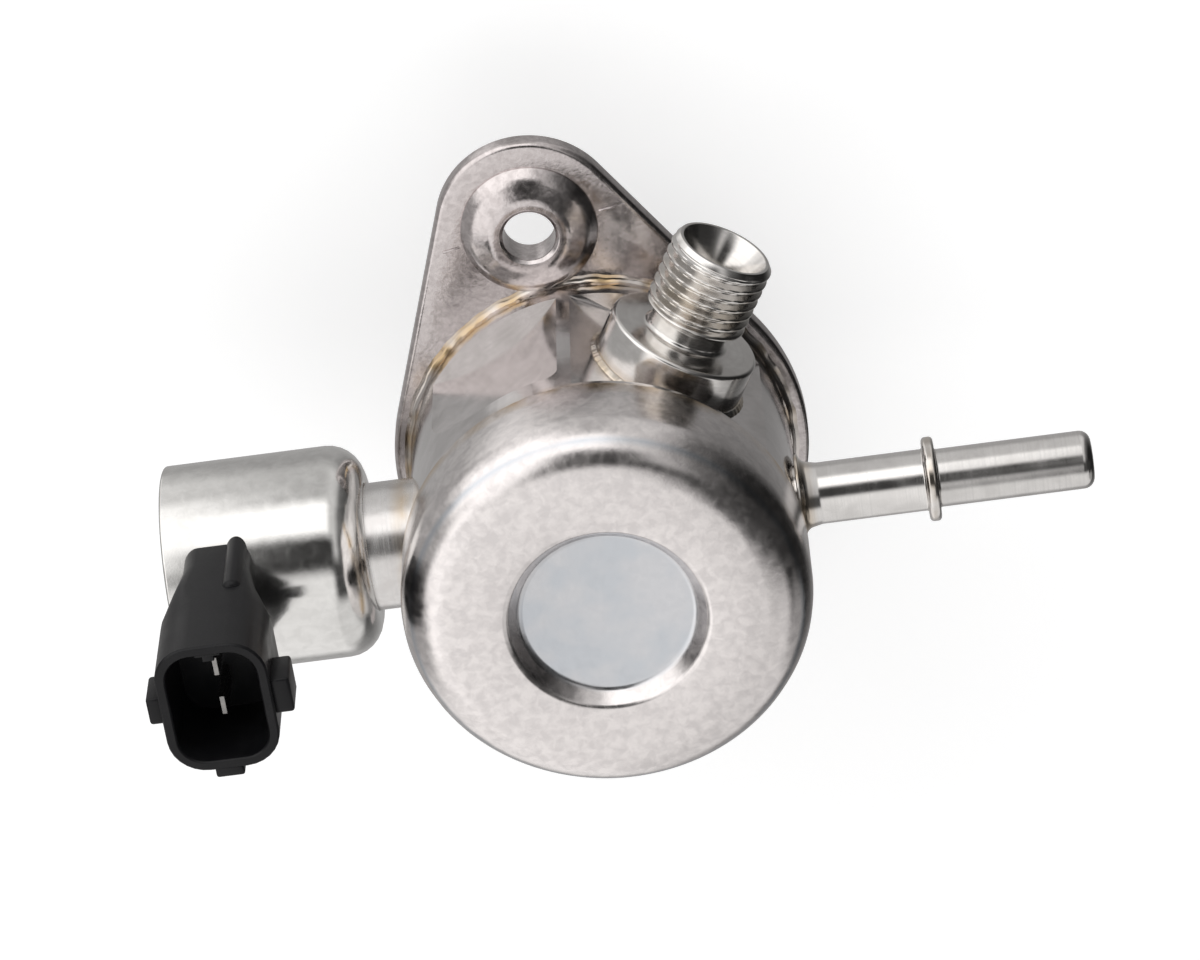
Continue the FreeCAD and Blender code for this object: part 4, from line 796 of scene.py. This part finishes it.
@dataclass
class OutletPort:
    """The high pressure outlet: collar, neck, thread and the cone that seals the pipe."""

    seat: float = 13.0
    flat: float = 22.45
    spigot_radius: float = 6.98
    chamber_radius: float = 4.5
    chamber_end: float = 24.0
    collar_radius: float = 10.4
    collar_end: float = 28.8
    neck_radius: float = 5.3
    thread_start: float = 31.6
    thread_radius: float = 7.0
    mouth: float = 42.5
    cone_radius: float = 5.9
    bore_radius: float = 2.0
    cone_angle: float = 30.0
    mouth_chamfer: Span = (0.65, 0.75)
    collar_round: float = 0.55
    neck_round: float = 0.8
    root_round: float = 0.5
    pitch: float = 1.5
    thread_depth: float = 0.92
    thread_margin: float = 0.6
    thread_runout: Span = (0.9, 0.5)
    crest_flat: float = 0.06
    flank: float = 0.36
    thread_cuts: int = 116
    weld_leg: float = 0.7
    weld_waves: Span = (64.0, 0.03)
    weld_wander: Span = (0.9, 0.07)
    weld_steps: int = 240

    def fitting(self) -> Object:
        """Turn the fitting and cut its thread."""
        part = Workpiece("outlet_union")
        slope = math.tan(math.radians(self.cone_angle))
        cone_depth = (self.cone_radius - self.bore_radius) / slope
        inset, drop = self.mouth_chamfer
        verts = part.turn([
            Corner(self.thread_radius, self.thread_start + drop),
            Corner(self.thread_radius, self.mouth - drop),
            Corner(self.thread_radius - inset, self.mouth, 0.12),
            Corner(self.cone_radius, self.mouth, 0.15),
            Corner(self.bore_radius, self.mouth - cone_depth),
            Corner(self.bore_radius, self.chamber_end),
            Corner(self.chamber_radius, self.chamber_end),
            Corner(self.chamber_radius, self.seat),
            Corner(self.spigot_radius, self.seat),
            Corner(self.spigot_radius, self.flat),
            Corner(self.collar_radius, self.flat),
            Corner(self.collar_radius, self.collar_end, self.collar_round),
            Corner(self.neck_radius, self.collar_end, self.neck_round),
            Corner(self.neck_radius, self.thread_start - 0.25, self.root_round),
            Corner(self.thread_radius - drop, self.thread_start + 0.15, 0.1),
        ], cuts={0: self.thread_cuts})
        self.cut_thread(verts)
        return part.finish(PORT_STEEL, Body.ROOT, "port_steel", "outlet_fitting",
                           placement=OUTLET_AXIS, sharp=40.0)

    def cut_thread(self, verts: Sequence[BMVert]) -> None:
        """Sink the flanks of the thread into the turned barrel."""
        low, high = self.thread_start + self.thread_margin, self.mouth - self.thread_margin
        first, last = self.thread_runout
        for vert in verts:
            radius = vert.co.xy.length
            if radius < self.thread_radius - 0.1 or not low < vert.co.z < high:
                continue
            phase = (vert.co.z / self.pitch - math.atan2(vert.co.y, vert.co.x) / math.tau) % 1.0
            flank = min(1.0, max(0.0, (abs(phase - 0.5) - self.crest_flat) / self.flank))
            runout = min(1.0, (vert.co.z - low) / first, (high - vert.co.z) / last)
            sink = self.thread_depth * (1.0 - flank) * max(0.0, runout)
            vert.co.xy *= (radius - sink) / radius

    def weld(self) -> Object:
        """Lay the weld between the collar and its flat."""
        part = Workpiece("outlet_weld")
        root, foot, leg = self.collar_radius - 0.5, self.flat - 0.2, self.weld_leg
        part.turn([
            Corner(root, foot),
            Corner(self.collar_radius + leg + 0.05, foot),
            Corner(self.collar_radius + leg, self.flat + 0.12, 0.2),
            Corner(self.collar_radius + 0.15, self.flat + leg - 0.05, 0.3),
            Corner(root, self.flat + leg),
        ], steps=self.weld_steps)
        part.ripple(self.collar_radius, self.weld_waves, self.weld_wander,
                    above=self.flat, beyond=self.collar_radius)
        return part.finish(PORT_STEEL, Body.ROOT, "port_steel",
                           placement=OUTLET_AXIS, sharp=WELD_SHARP_ANGLE)

    def build(self) -> None:
        """Build the port and dress the check valve inside it."""
        self.fitting()
        self.weld()
        dress(GROUND_STEEL, "outlet_valve_seat", "outlet_valve_ball")
        dress(SPRING_STEEL, "outlet_valve_spring")


@dataclass
class InletSpigot:
    """The inlet tube with its flared root, its stop bead and its rounded end."""

    seat: float = 20.0
    bore_radius: float = 3.05
    shank_radius: float = 4.2
    end_radius: float = 3.95
    seat_clearance: float = 0.02
    flare: float = 26.5
    flare_radius: float = 5.9
    flare_length: float = 2.9
    flare_lip: float = 0.5
    flare_round: float = 1.2
    bead: float = 44.7
    bead_radius: float = 5.75
    bead_width: float = 1.6
    bead_round: float = 0.55
    bead_root: float = 0.3
    tip: float = 66.6
    tip_round: float = 1.5
    mouth_radius: float = 2.3

    def tube(self) -> Object:
        """Turn the tube."""
        part = Workpiece("inlet_pipe")
        half = self.bead_width / 2.0
        seated = self.shank_radius - self.seat_clearance
        part.turn([
            Corner(self.bore_radius, self.seat),
            Corner(seated, self.seat),
            Corner(seated, self.flare),
            Corner(self.flare_radius, self.flare, 0.2),
            Corner(self.flare_radius - 0.1, self.flare + self.flare_lip, 0.2),
            Corner(self.shank_radius + 0.45, self.flare + self.flare_lip + 0.3, self.flare_round),
            Corner(self.shank_radius, self.flare + self.flare_length, self.flare_round + 0.3),
            Corner(self.shank_radius, self.bead - half, self.bead_root),
            Corner(self.bead_radius, self.bead - half, self.bead_round),
            Corner(self.bead_radius, self.bead + half, self.bead_round),
            Corner(self.end_radius, self.bead + half, self.bead_root),
            Corner(self.end_radius, self.tip, self.tip_round),
            Corner(self.mouth_radius, self.tip, 0.1),
            Corner(self.bore_radius, self.tip - self.tip_round, 0.5),
        ])
        return part.finish(TUBE_STEEL, Body.ROOT, "tube_steel", "inlet_tube",
                           placement=INLET_AXIS)

    def build(self) -> None:
        """Build the tube and dress its strainer."""
        self.tube()
        dress(SHEET_STEEL, "inlet_strainer")


@dataclass
class SolenoidUnit:
    """The solenoid can with its end plate, and the valve parts inside it."""

    can_radius: float = 14.52
    wall: float = 1.3
    start: float = 31.9
    end: float = 58.8
    shoulder: float = 4.8
    neck_radius: float = 8.75
    lip_round: float = 0.4
    edge_width: float = 0.12
    steps: int = 176
    spring_end: float = 39.5
    spring_length: float = 5.0
    stroke: float = 0.5

    def can(self) -> Object:
        """Turn the drawn can."""
        part = Workpiece("solenoid_cup")
        inner, floor = self.can_radius - self.wall, self.start + self.wall
        part.turn([
            Corner(self.neck_radius, self.start, 0.35),
            Corner(self.can_radius, self.start, self.shoulder),
            Corner(self.can_radius, self.end, self.lip_round),
            Corner(inner, self.end, 0.3),
            Corner(inner, floor, self.shoulder - self.wall),
            Corner(self.neck_radius, floor),
        ], steps=self.steps)
        return part.finish(CAN_STEEL, Body.ROOT, "can_steel", "solenoid_can",
                           placement=VALVE_AXIS)

    def spring(self) -> None:
        """Copy the armature's spring and give the copy a mesh of its own."""
        piece = eased_copy("armature_spring", "armature_coil", SPRING_STEEL, "spring_steel")
        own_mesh(piece)

    def build(self) -> None:
        """Build the can and dress what it holds."""
        self.can()
        self.spring()
        eased_copy("can_end_plate", "can_lid", CAN_STEEL, "can_steel", self.edge_width)
        eased_copy("valve_body", "valve_neck", NECK_STEEL, "port_steel", self.edge_width)
        dress(GROUND_STEEL, "pole_core", "armature", "valve_needle", "inlet_valve_stop",
              "inlet_valve_seat", "inlet_valve_disc")
        dress(SPRING_STEEL, "inlet_valve_spring")
        dress(BOBBIN_PLASTIC, "coil_bobbin")
        dress(COPPER, "coil_winding")


@dataclass
class PlugConnector:
    """The moulded connector on the can: root, shroud, socket, latch parts and blades."""

    middle_x: float = -51.3
    root_z: float = 31.5
    neck_z: float = 37.25
    waist_z: float = 42.5
    shroud_z: float = 46.5
    mouth_z: float = 59.0
    floor_z: float = 45.5
    root_half: float = 4.55
    waist_half: float = 5.5
    half_x: float = 7.4
    half_y: float = 9.4
    root_corner: float = 2.0
    corner: float = 5.0
    wall: float = 1.4
    mouth_chamfer: float = 0.25
    overlap: float = 0.4
    lug_z: Span = (52.0, 58.0)
    lug_round: float = 0.45
    wing: Span = (2.4, 2.6)
    rail: Span = (1.8, 2.0)
    tab: Span = (1.2, 1.9)
    tab_round: float = 0.35
    key: Span = (1.5, 0.8)
    key_head: Span = (0.65, 1.7)
    key_round: float = 0.15
    rib_radius: float = 1.4
    rib_z: Span = (32.0, 44.5)
    rib_round: float = 0.9
    rib_inset: Span = (2.7, 0.7)
    edge_width: float = 0.12
    blade_width: float = 0.15

    def ring(self, part: Workpiece, half_x: float, half_y: float, corner: float,
             height: float) -> list[BMVert]:
        """Draw a rounded rectangle at a height."""
        points = [(self.middle_x + side_x * half_x, side_y * half_y, height)
                  for side_x, side_y in ((1, 1), (-1, 1), (-1, -1), (1, -1))]
        return part.outline(points, [corner] * 4, closed=True)

    def shroud(self, part: Workpiece) -> None:
        """Raise the root and the shroud, and sink the socket into it."""
        ease = self.mouth_chamfer
        rings = [
            self.ring(part, self.root_half, self.half_y, self.root_corner, self.root_z),
            self.ring(part, self.root_half, self.half_y, self.root_corner, self.neck_z),
            self.ring(part, self.waist_half, self.half_y, self.root_corner, self.waist_z),
        ]
        walls = ((0.0, self.shroud_z), (0.0, self.mouth_z - 0.3), (ease, self.mouth_z),
                 (self.wall - 0.2, self.mouth_z), (self.wall, self.mouth_z - ease),
                 (self.wall, self.floor_z))
        rings += [self.ring(part, self.half_x - inset, self.half_y - inset,
                            self.corner - inset, height) for inset, height in walls]
        for below, above in zip(rings, rings[1:]):
            part.bridge(below, above)
        part.fill(rings[0])
        part.fill(rings[-1])

    def latch_parts(self, part: Workpiece) -> None:
        """Add the wing, the rail, the tab and the key, each by its reach and half its width."""
        foot, top = self.lug_z
        for (reach, half), way in ((self.wing, 1.0), (self.rail, -1.0)):
            ends = sorted(self.middle_x + way * (self.half_x + far)
                          for far in (-self.overlap, reach))
            part.block((ends[0], -half, foot), (ends[1], half, top), self.lug_round, 3)
        reach, half = self.tab
        part.block((self.middle_x - half, -self.half_y - reach, foot),
                   (self.middle_x + half, -self.half_y + self.overlap, self.mouth_z),
                   self.tab_round, 3)
        side = self.half_y - self.wall
        for (reach, half), height in ((self.key, top), (self.key_head, top + 0.2)):
            part.block((self.middle_x - half, side - reach, self.floor_z),
                       (self.middle_x + half, side + self.overlap, height), self.key_round)

    def rib(self, part: Workpiece) -> None:
        """Turn the round rib on the root's inner corner."""
        foot, top = self.rib_z
        verts = part.turn([
            Corner(0.0, foot), Corner(self.rib_radius, foot),
            Corner(self.rib_radius, top, self.rib_round), Corner(0.0, top),
        ], steps=32)
        along, across = self.rib_inset
        place = (self.middle_x + along, self.half_y - across, 0.0)
        part.place(verts, Matrix.Translation(place))

    def build(self) -> None:
        """Build the moulding and ease its blades."""
        part = Workpiece("plug_moulding")
        self.shroud(part)
        self.latch_parts(part)
        self.rib(part)
        piece = part.finish(BLACK_PLASTIC, Body.ROOT, "connector_plastic",
                            "connector_body")
        for name in ("terminal_front", "terminal_rear"):
            eased_copy(name, name + "_blade", TIN, "terminal_tin", self.blade_width)
        ease_edges(piece, self.edge_width)


@dataclass
class PlungerDrive:
    """What the cam moves: plunger, spring seat and return spring, with the seal above."""

    wire: float = 1.2
    mean_radius: float = 9.9
    low_z: float = -27.0
    high_z: float = -4.2
    stroke: float = 4.5
    closed_turns: float = 1.0
    active_turns: float = 3.5
    closed_pitch: float = 1.02
    wire_sides: int = 16
    turn_steps: int = 64
    rod_edge: float = 0.15
    plate_edge: float = 0.25

    def spring(self) -> Object:
        """Wind the return spring with closed ends."""
        part = Workpiece("return_coil")
        closed, active = self.closed_turns, self.active_turns
        span = self.high_z - self.low_z - 2.0 * self.wire
        end_rise = 2.0 * self.wire * self.closed_pitch
        place = Matrix.Translation((self.mean_radius, 0.0, self.low_z + self.wire))
        tilt = Matrix.Rotation(math.pi / 2, 4, "X")
        ring = bmesh.ops.create_circle(
            part.mesh, cap_ends=True, radius=self.wire, segments=self.wire_sides,
            matrix=place @ tilt)["verts"]
        rises = ((closed, end_rise), (active, span - 2.0 * end_rise), (closed, end_rise))
        for turns, rise in rises:
            steps = round(self.turn_steps * turns)
            geom = ring + part.edges_of(ring)
            before = set(part.mesh.verts)
            bmesh.ops.spin(part.mesh, geom=geom, cent=(0.0, 0.0, 0.0), axis=UP,
                           dvec=(0.0, 0.0, rise / steps), angle=math.tau * turns, steps=steps,
                           use_merge=False, use_normal_flip=False, use_duplicate=False)
            made = [vert for vert in part.mesh.verts if vert not in before]
            ring = made[-len(ring):]
        bmesh.ops.holes_fill(part.mesh, edges=part.mesh.edges[:], sides=0)
        piece = part.finish(SPRING_STEEL, Body.ROOT, "spring_steel", "return_spring",
                            sharp=WELD_SHARP_ANGLE)
        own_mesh(piece)
        return piece

    def build(self) -> None:
        """Build the spring and dress the rest of the drive."""
        self.spring()
        eased_copy("plunger", "plunger_rod", GROUND_STEEL, "inner_steel", self.rod_edge,
                   Body.PLUNGER)
        eased_copy("spring_seat", "spring_plate", SHEET_STEEL, "inner_steel", self.plate_edge,
                   Body.PLUNGER)
        dress(SHEET_STEEL, "seal_carrier")
        dress(SEAL_POLYMER, "plunger_seal")
        dress(RUBBER, "pilot_o_ring")


MATERIALS: dict[str, Material] = {}


def made(finish: Steel | Moulding) -> Material:
    """Return the material of a finish, and build it the first time."""
    if finish.name not in MATERIALS:
        MATERIALS[finish.name] = finish.material()
    return MATERIALS[finish.name]


def dress(finish: Steel | Moulding, *nodes: str) -> None:
    """Give solids that stay in view a finish."""
    for name in nodes:
        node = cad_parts[name]
        for slot in node.material_slots:
            slot.material = made(finish)
        LOG.info("%s: dressed with %s", name, finish.name)


def eased_copy(node: str, name: str, finish: Steel | Moulding, slot: str, width: float = 0.0,
               body: Body = Body.ROOT, sharp: float = SHARP_ANGLE) -> Object:
    """Stand a copy of a solid in the solid's place, with its edges broken if they have a width.

    Args:
        node: The solid's name.
        name: The new piece's name.
        finish: Its finish.
        slot: Handed on to Workpiece.finish, which does not use it.
        width: Width of the broken edge.
        body: The body that it rides on.
        sharp: Angle in degrees past which an edge is broken.

    Returns:
        The new object.
    """
    part = Workpiece(name)
    part.mesh.from_mesh(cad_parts[node].data)
    bmesh.ops.scale(part.mesh, vec=(1.0 / MM,) * 3, verts=part.mesh.verts[:])
    bmesh.ops.remove_doubles(part.mesh, verts=part.mesh.verts[:], dist=MERGE_DISTANCE)
    bmesh.ops.dissolve_limit(part.mesh, angle_limit=math.radians(DISSOLVE_ANGLE),
                             verts=part.mesh.verts[:], edges=part.mesh.edges[:])
    piece = part.finish(finish, body, slot, node, sharp=sharp)
    if width:
        ease_edges(piece, width, sharp)
    return piece


@dataclass(frozen=True)
class Panel:
    """A bright or dark panel of the light tent, placed by angles off the view, in degrees."""

    side: Span
    down: Span
    level: float
    edge: float = 5.0

    def lay(self, bench: NodeBench, side: NodeSocket, down: NodeSocket,
            under: object) -> NodeSocket:
        """Lay the panel over the level below it and return the new level.

        Args:
            bench: The tent's material.
            side: Angle towards the right of the picture.
            down: Angle towards the foot of the picture.
            under: The level that shows where the panel ends.

        Returns:
            The new level.
        """
        share: object = 1.0
        for angle, (low, high) in ((side, self.side), (down, self.down)):
            middle, half = (low + high) / 2.0, (high - low) / 2.0
            off = bench.math("ABSOLUTE", bench.math("SUBTRACT", angle, middle))
            inside = bench.remap(off, (half - self.edge, half + self.edge), (1.0, 0.0))
            share = bench.math("MULTIPLY", share, inside)
        change = bench.math("SUBTRACT", self.level, under)
        return bench.math("MULTIPLY_ADD", share, change, under)


TENT_PANELS = (
    Panel((-24.0, 26.0), (-114.0, -56.0), 0.60, 8.0),
    Panel((-68.0, -20.0), (-106.0, -74.0), 1.05, 8.0),
    Panel((-40.0, -20.0), (-136.0, -100.0), 1.00, 7.0),
    Panel((-68.0, -19.0), (-78.0, 4.0), 1.55, 6.0),
    Panel((-54.0, -21.0), (-2.0, 62.0), 1.40, 6.0),
    Panel((-24.0, 8.0), (-58.0, -19.0), 1.60, 6.0),
    Panel((4.0, 24.0), (-104.0, 6.0), 0.74, 7.0),
    Panel((34.0, 90.0), (-5.0, 55.0), 0.04, 8.0),
    Panel((-15.0, 13.0), (-17.0, 19.0), 0.045, 6.0),
    Panel((8.0, 38.0), (8.0, 50.0), 0.07, 6.0),
    Panel((-38.0, 10.0), (22.0, 138.0), 1.02, 6.0),
    Panel((-40.0, -18.0), (42.0, 78.0), 1.35, 8.0),
    Panel((6.0, 50.0), (54.0, 128.0), 0.80, 7.0),
    Panel((46.0, 68.0), (80.0, 136.0), 0.36, 6.0),
)


@dataclass(frozen=True)
class SoftBox:
    """A soft box, placed by angles off the view, that lights floor and plastic."""

    name: str
    side: float
    down: float
    half_side: float
    half_down: float
    level: float


SOFT_BOXES = (
    SoftBox("left_box", -38.0, -38.0, 26.0, 32.0, 1.5),
    SoftBox("rear_box", 2.0, -52.0, 16.0, 20.0, 1.2),
    SoftBox("front_box", 5.0, 42.0, 32.0, 20.0, 0.9),
)


@dataclass
class Studio:
    """Floor, lamps, light tent and camera, in metres."""

    target: Vector = field(default_factory=lambda: Vector((-0.000289, 0.001277, 0.0135)))
    right: Vector = field(default_factory=lambda: Vector((0.99047206, -0.13679564, 0.01587619)))
    up: Vector = field(default_factory=lambda: Vector((0.12737701, 0.86619792, -0.4831938)))
    back: Vector = field(default_factory=lambda: Vector((0.05234689, 0.48061222, 0.87536946)))
    distance: float = 0.6178
    lens: float = 134.6
    sensor: float = 36.0
    floor_z: float = -0.0312
    floor_radius: float = 4.0
    floor_shade: float = 0.86
    floor_glow: float = 0.42
    fill_level: float = 0.45
    lamp_distance: float = 0.8
    tent_radius: float = 1.6
    tent_span: Span = (0.12, 0.86)
    tent_levels: Span = (0.42, 0.018)
    tent_tone: Colour = (1.0, 0.985, 0.975)

    def camera(self) -> None:
        """Place the camera at the photograph's viewing angle."""
        data = bpy.data.cameras.new("camera")
        data.lens = self.lens
        data.sensor_width = self.sensor
        data.clip_start = 0.01
        camera = bpy.data.objects.new("camera", data)
        place = Matrix((self.right, self.up, self.back)).transposed().to_4x4()
        place.translation = self.target + self.back * self.distance
        camera.matrix_world = place
        bpy.context.scene.collection.objects.link(camera)
        bpy.context.scene.camera = camera

    def frame_at(self, side: float, down: float) -> Matrix:
        """Return the turned frame of a lamp whose Z axis points from the object to the lamp.

        Args:
            side: Angle towards the right of the picture, in degrees.
            down: Angle towards the foot of the picture, in degrees.

        Returns:
            The rotation, with X towards the right of the picture.
        """
        across, along = math.radians(side), math.radians(down)
        level = self.back * math.cos(along) - self.up * math.sin(along)
        way = level * math.cos(across) + self.right * math.sin(across)
        edge = self.right * math.cos(across) - level * math.sin(across)
        return Matrix((edge, way.cross(edge), way)).transposed().to_4x4()

    def lamp(self, box: SoftBox) -> None:
        """Hang a soft box that faces the object."""
        data = bpy.data.lights.new(box.name, "AREA")
        data.shape = "RECTANGLE"
        data.size = 2.0 * self.lamp_distance * math.tan(math.radians(box.half_side))
        data.size_y = 2.0 * self.lamp_distance * math.tan(math.radians(box.half_down))
        data.energy = box.level * math.pi * data.size * data.size_y
        lamp = bpy.data.objects.new(box.name, data)
        turn = self.frame_at(box.side, box.down)
        lamp.matrix_world = (Matrix.Translation(self.target) @ turn
                             @ Matrix.Translation((0.0, 0.0, self.lamp_distance)))
        lamp.visible_camera = False
        lamp.visible_glossy = False
        bpy.context.scene.collection.objects.link(lamp)

    def floor(self) -> None:
        """Lay the pale floor."""
        mesh = bmesh.new()
        bmesh.ops.create_circle(mesh, cap_ends=True, radius=self.floor_radius, segments=64)
        bmesh.ops.translate(mesh, vec=(0.0, 0.0, self.floor_z), verts=mesh.verts[:])
        data = bpy.data.meshes.new("floor")
        mesh.to_mesh(data)
        mesh.free()
        floor = bpy.data.objects.new("floor", data)
        floor.visible_glossy = False
        bpy.context.scene.collection.objects.link(floor)
        bench = NodeBench("floor_pale")
        bench.shader.inputs["Base Color"].default_value = (*(self.floor_shade,) * 3, 1.0)
        bench.shader.inputs["Roughness"].default_value = 0.9
        bench.shader.inputs["Specular IOR Level"].default_value = 0.1
        bench.shader.inputs["Emission Color"].default_value = (1.0, 1.0, 1.0, 1.0)
        bench.feed(bench.shader.inputs["Emission Strength"],
                   bench.math("MULTIPLY", seen_directly(bench), self.floor_glow))
        data.materials.append(bench.material)

    def tent(self) -> None:
        """Hang the tent whose bright and dark panels only show in the metal."""
        mesh = bmesh.new()
        bmesh.ops.create_icosphere(mesh, subdivisions=4, radius=self.tent_radius)
        data = bpy.data.meshes.new("light_tent")
        mesh.to_mesh(data)
        mesh.free()
        tent = bpy.data.objects.new("light_tent", data)
        bpy.context.scene.collection.objects.link(tent)
        tent.visible_camera = False
        tent.visible_diffuse = False
        tent.visible_shadow = False
        bench = NodeBench("tent_cloth")
        across, along, near = (self.share_of(bench, axis)
                               for axis in (self.right, -self.up, self.back))
        degree = math.degrees(1.0)
        side = bench.math("MULTIPLY", bench.math("ARCSINE", across), degree)
        down = bench.math("MULTIPLY", bench.math("ARCTAN2", along, near), degree)
        level: object = bench.remap(across, self.tent_span, self.tent_levels)
        for panel in TENT_PANELS:
            level = panel.lay(bench, side, down, level)
        bench.shader.inputs["Base Color"].default_value = (0.0, 0.0, 0.0, 1.0)
        bench.shader.inputs["Roughness"].default_value = 1.0
        bench.shader.inputs["Specular IOR Level"].default_value = 0.0
        bench.shader.inputs["Emission Color"].default_value = (*self.tent_tone, 1.0)
        bench.feed(bench.shader.inputs["Emission Strength"], level)
        data.materials.append(bench.material)

    def share_of(self, bench: NodeBench, axis: Vector) -> NodeSocket:
        """Return how far a point of the tent lies along an axis, from -1 to 1."""
        dot = bench.add("ShaderNodeVectorMath", operation="DOT_PRODUCT")
        bench.feed(dot.inputs[0], bench.place)
        dot.inputs[1].default_value = axis / self.tent_radius
        return dot.outputs["Value"]

    def world(self) -> None:
        """Make the background white and keep a plain soft level on the object."""
        world = bpy.data.worlds.new("studio_world")
        world.use_nodes = True
        bpy.context.scene.world = world
        tree = world.node_tree
        background = tree.nodes["Background"]
        background.inputs["Color"].default_value = (1.0, 1.0, 1.0, 1.0)
        path = tree.nodes.new("ShaderNodeLightPath")
        seen = path.outputs["Is Camera Ray"]
        for ray in ("Is Glossy Ray", "Is Transmission Ray"):
            most = tree.nodes.new("ShaderNodeMath")
            most.operation = "MAXIMUM"
            tree.links.new(seen, most.inputs[0])
            tree.links.new(path.outputs[ray], most.inputs[1])
            seen = most.outputs["Value"]
        level = tree.nodes.new("ShaderNodeMapRange")
        level.inputs["To Min"].default_value = self.fill_level
        tree.links.new(seen, level.inputs["Value"])
        tree.links.new(level.outputs["Result"], background.inputs["Strength"])

    def build(self) -> None:
        """Set up the studio."""
        bpy.context.scene.view_settings.view_transform = "Standard"
        self.camera()
        self.floor()
        self.tent()
        self.world()
        for box in SOFT_BOXES:
            self.lamp(box)


def seen_directly(bench: NodeBench) -> NodeSocket:
    """Return 1 for rays that the camera, glossy or clear surfaces send, and 0 otherwise."""
    path = bench.add("ShaderNodeLightPath")
    seen = bench.math("MAXIMUM", path.outputs["Is Camera Ray"], path.outputs["Is Glossy Ray"])
    return bench.math("MAXIMUM", seen, path.outputs["Is Transmission Ray"])


def main() -> None:
    """Build every sub-assembly, then the studio."""
    logging.basicConfig(level=logging.INFO, format="%(name)s %(message)s")
    for assembly in (HousingBlock(), FlangePlate(), DamperCover(), OutletPort(), InletSpigot(),
                     SolenoidUnit(), PlugConnector(), PlungerDrive()):
        assembly.build()
        LOG.info("%s built", type(assembly).__name__)
    Studio().build()


if __name__ == "__main__":
    main()
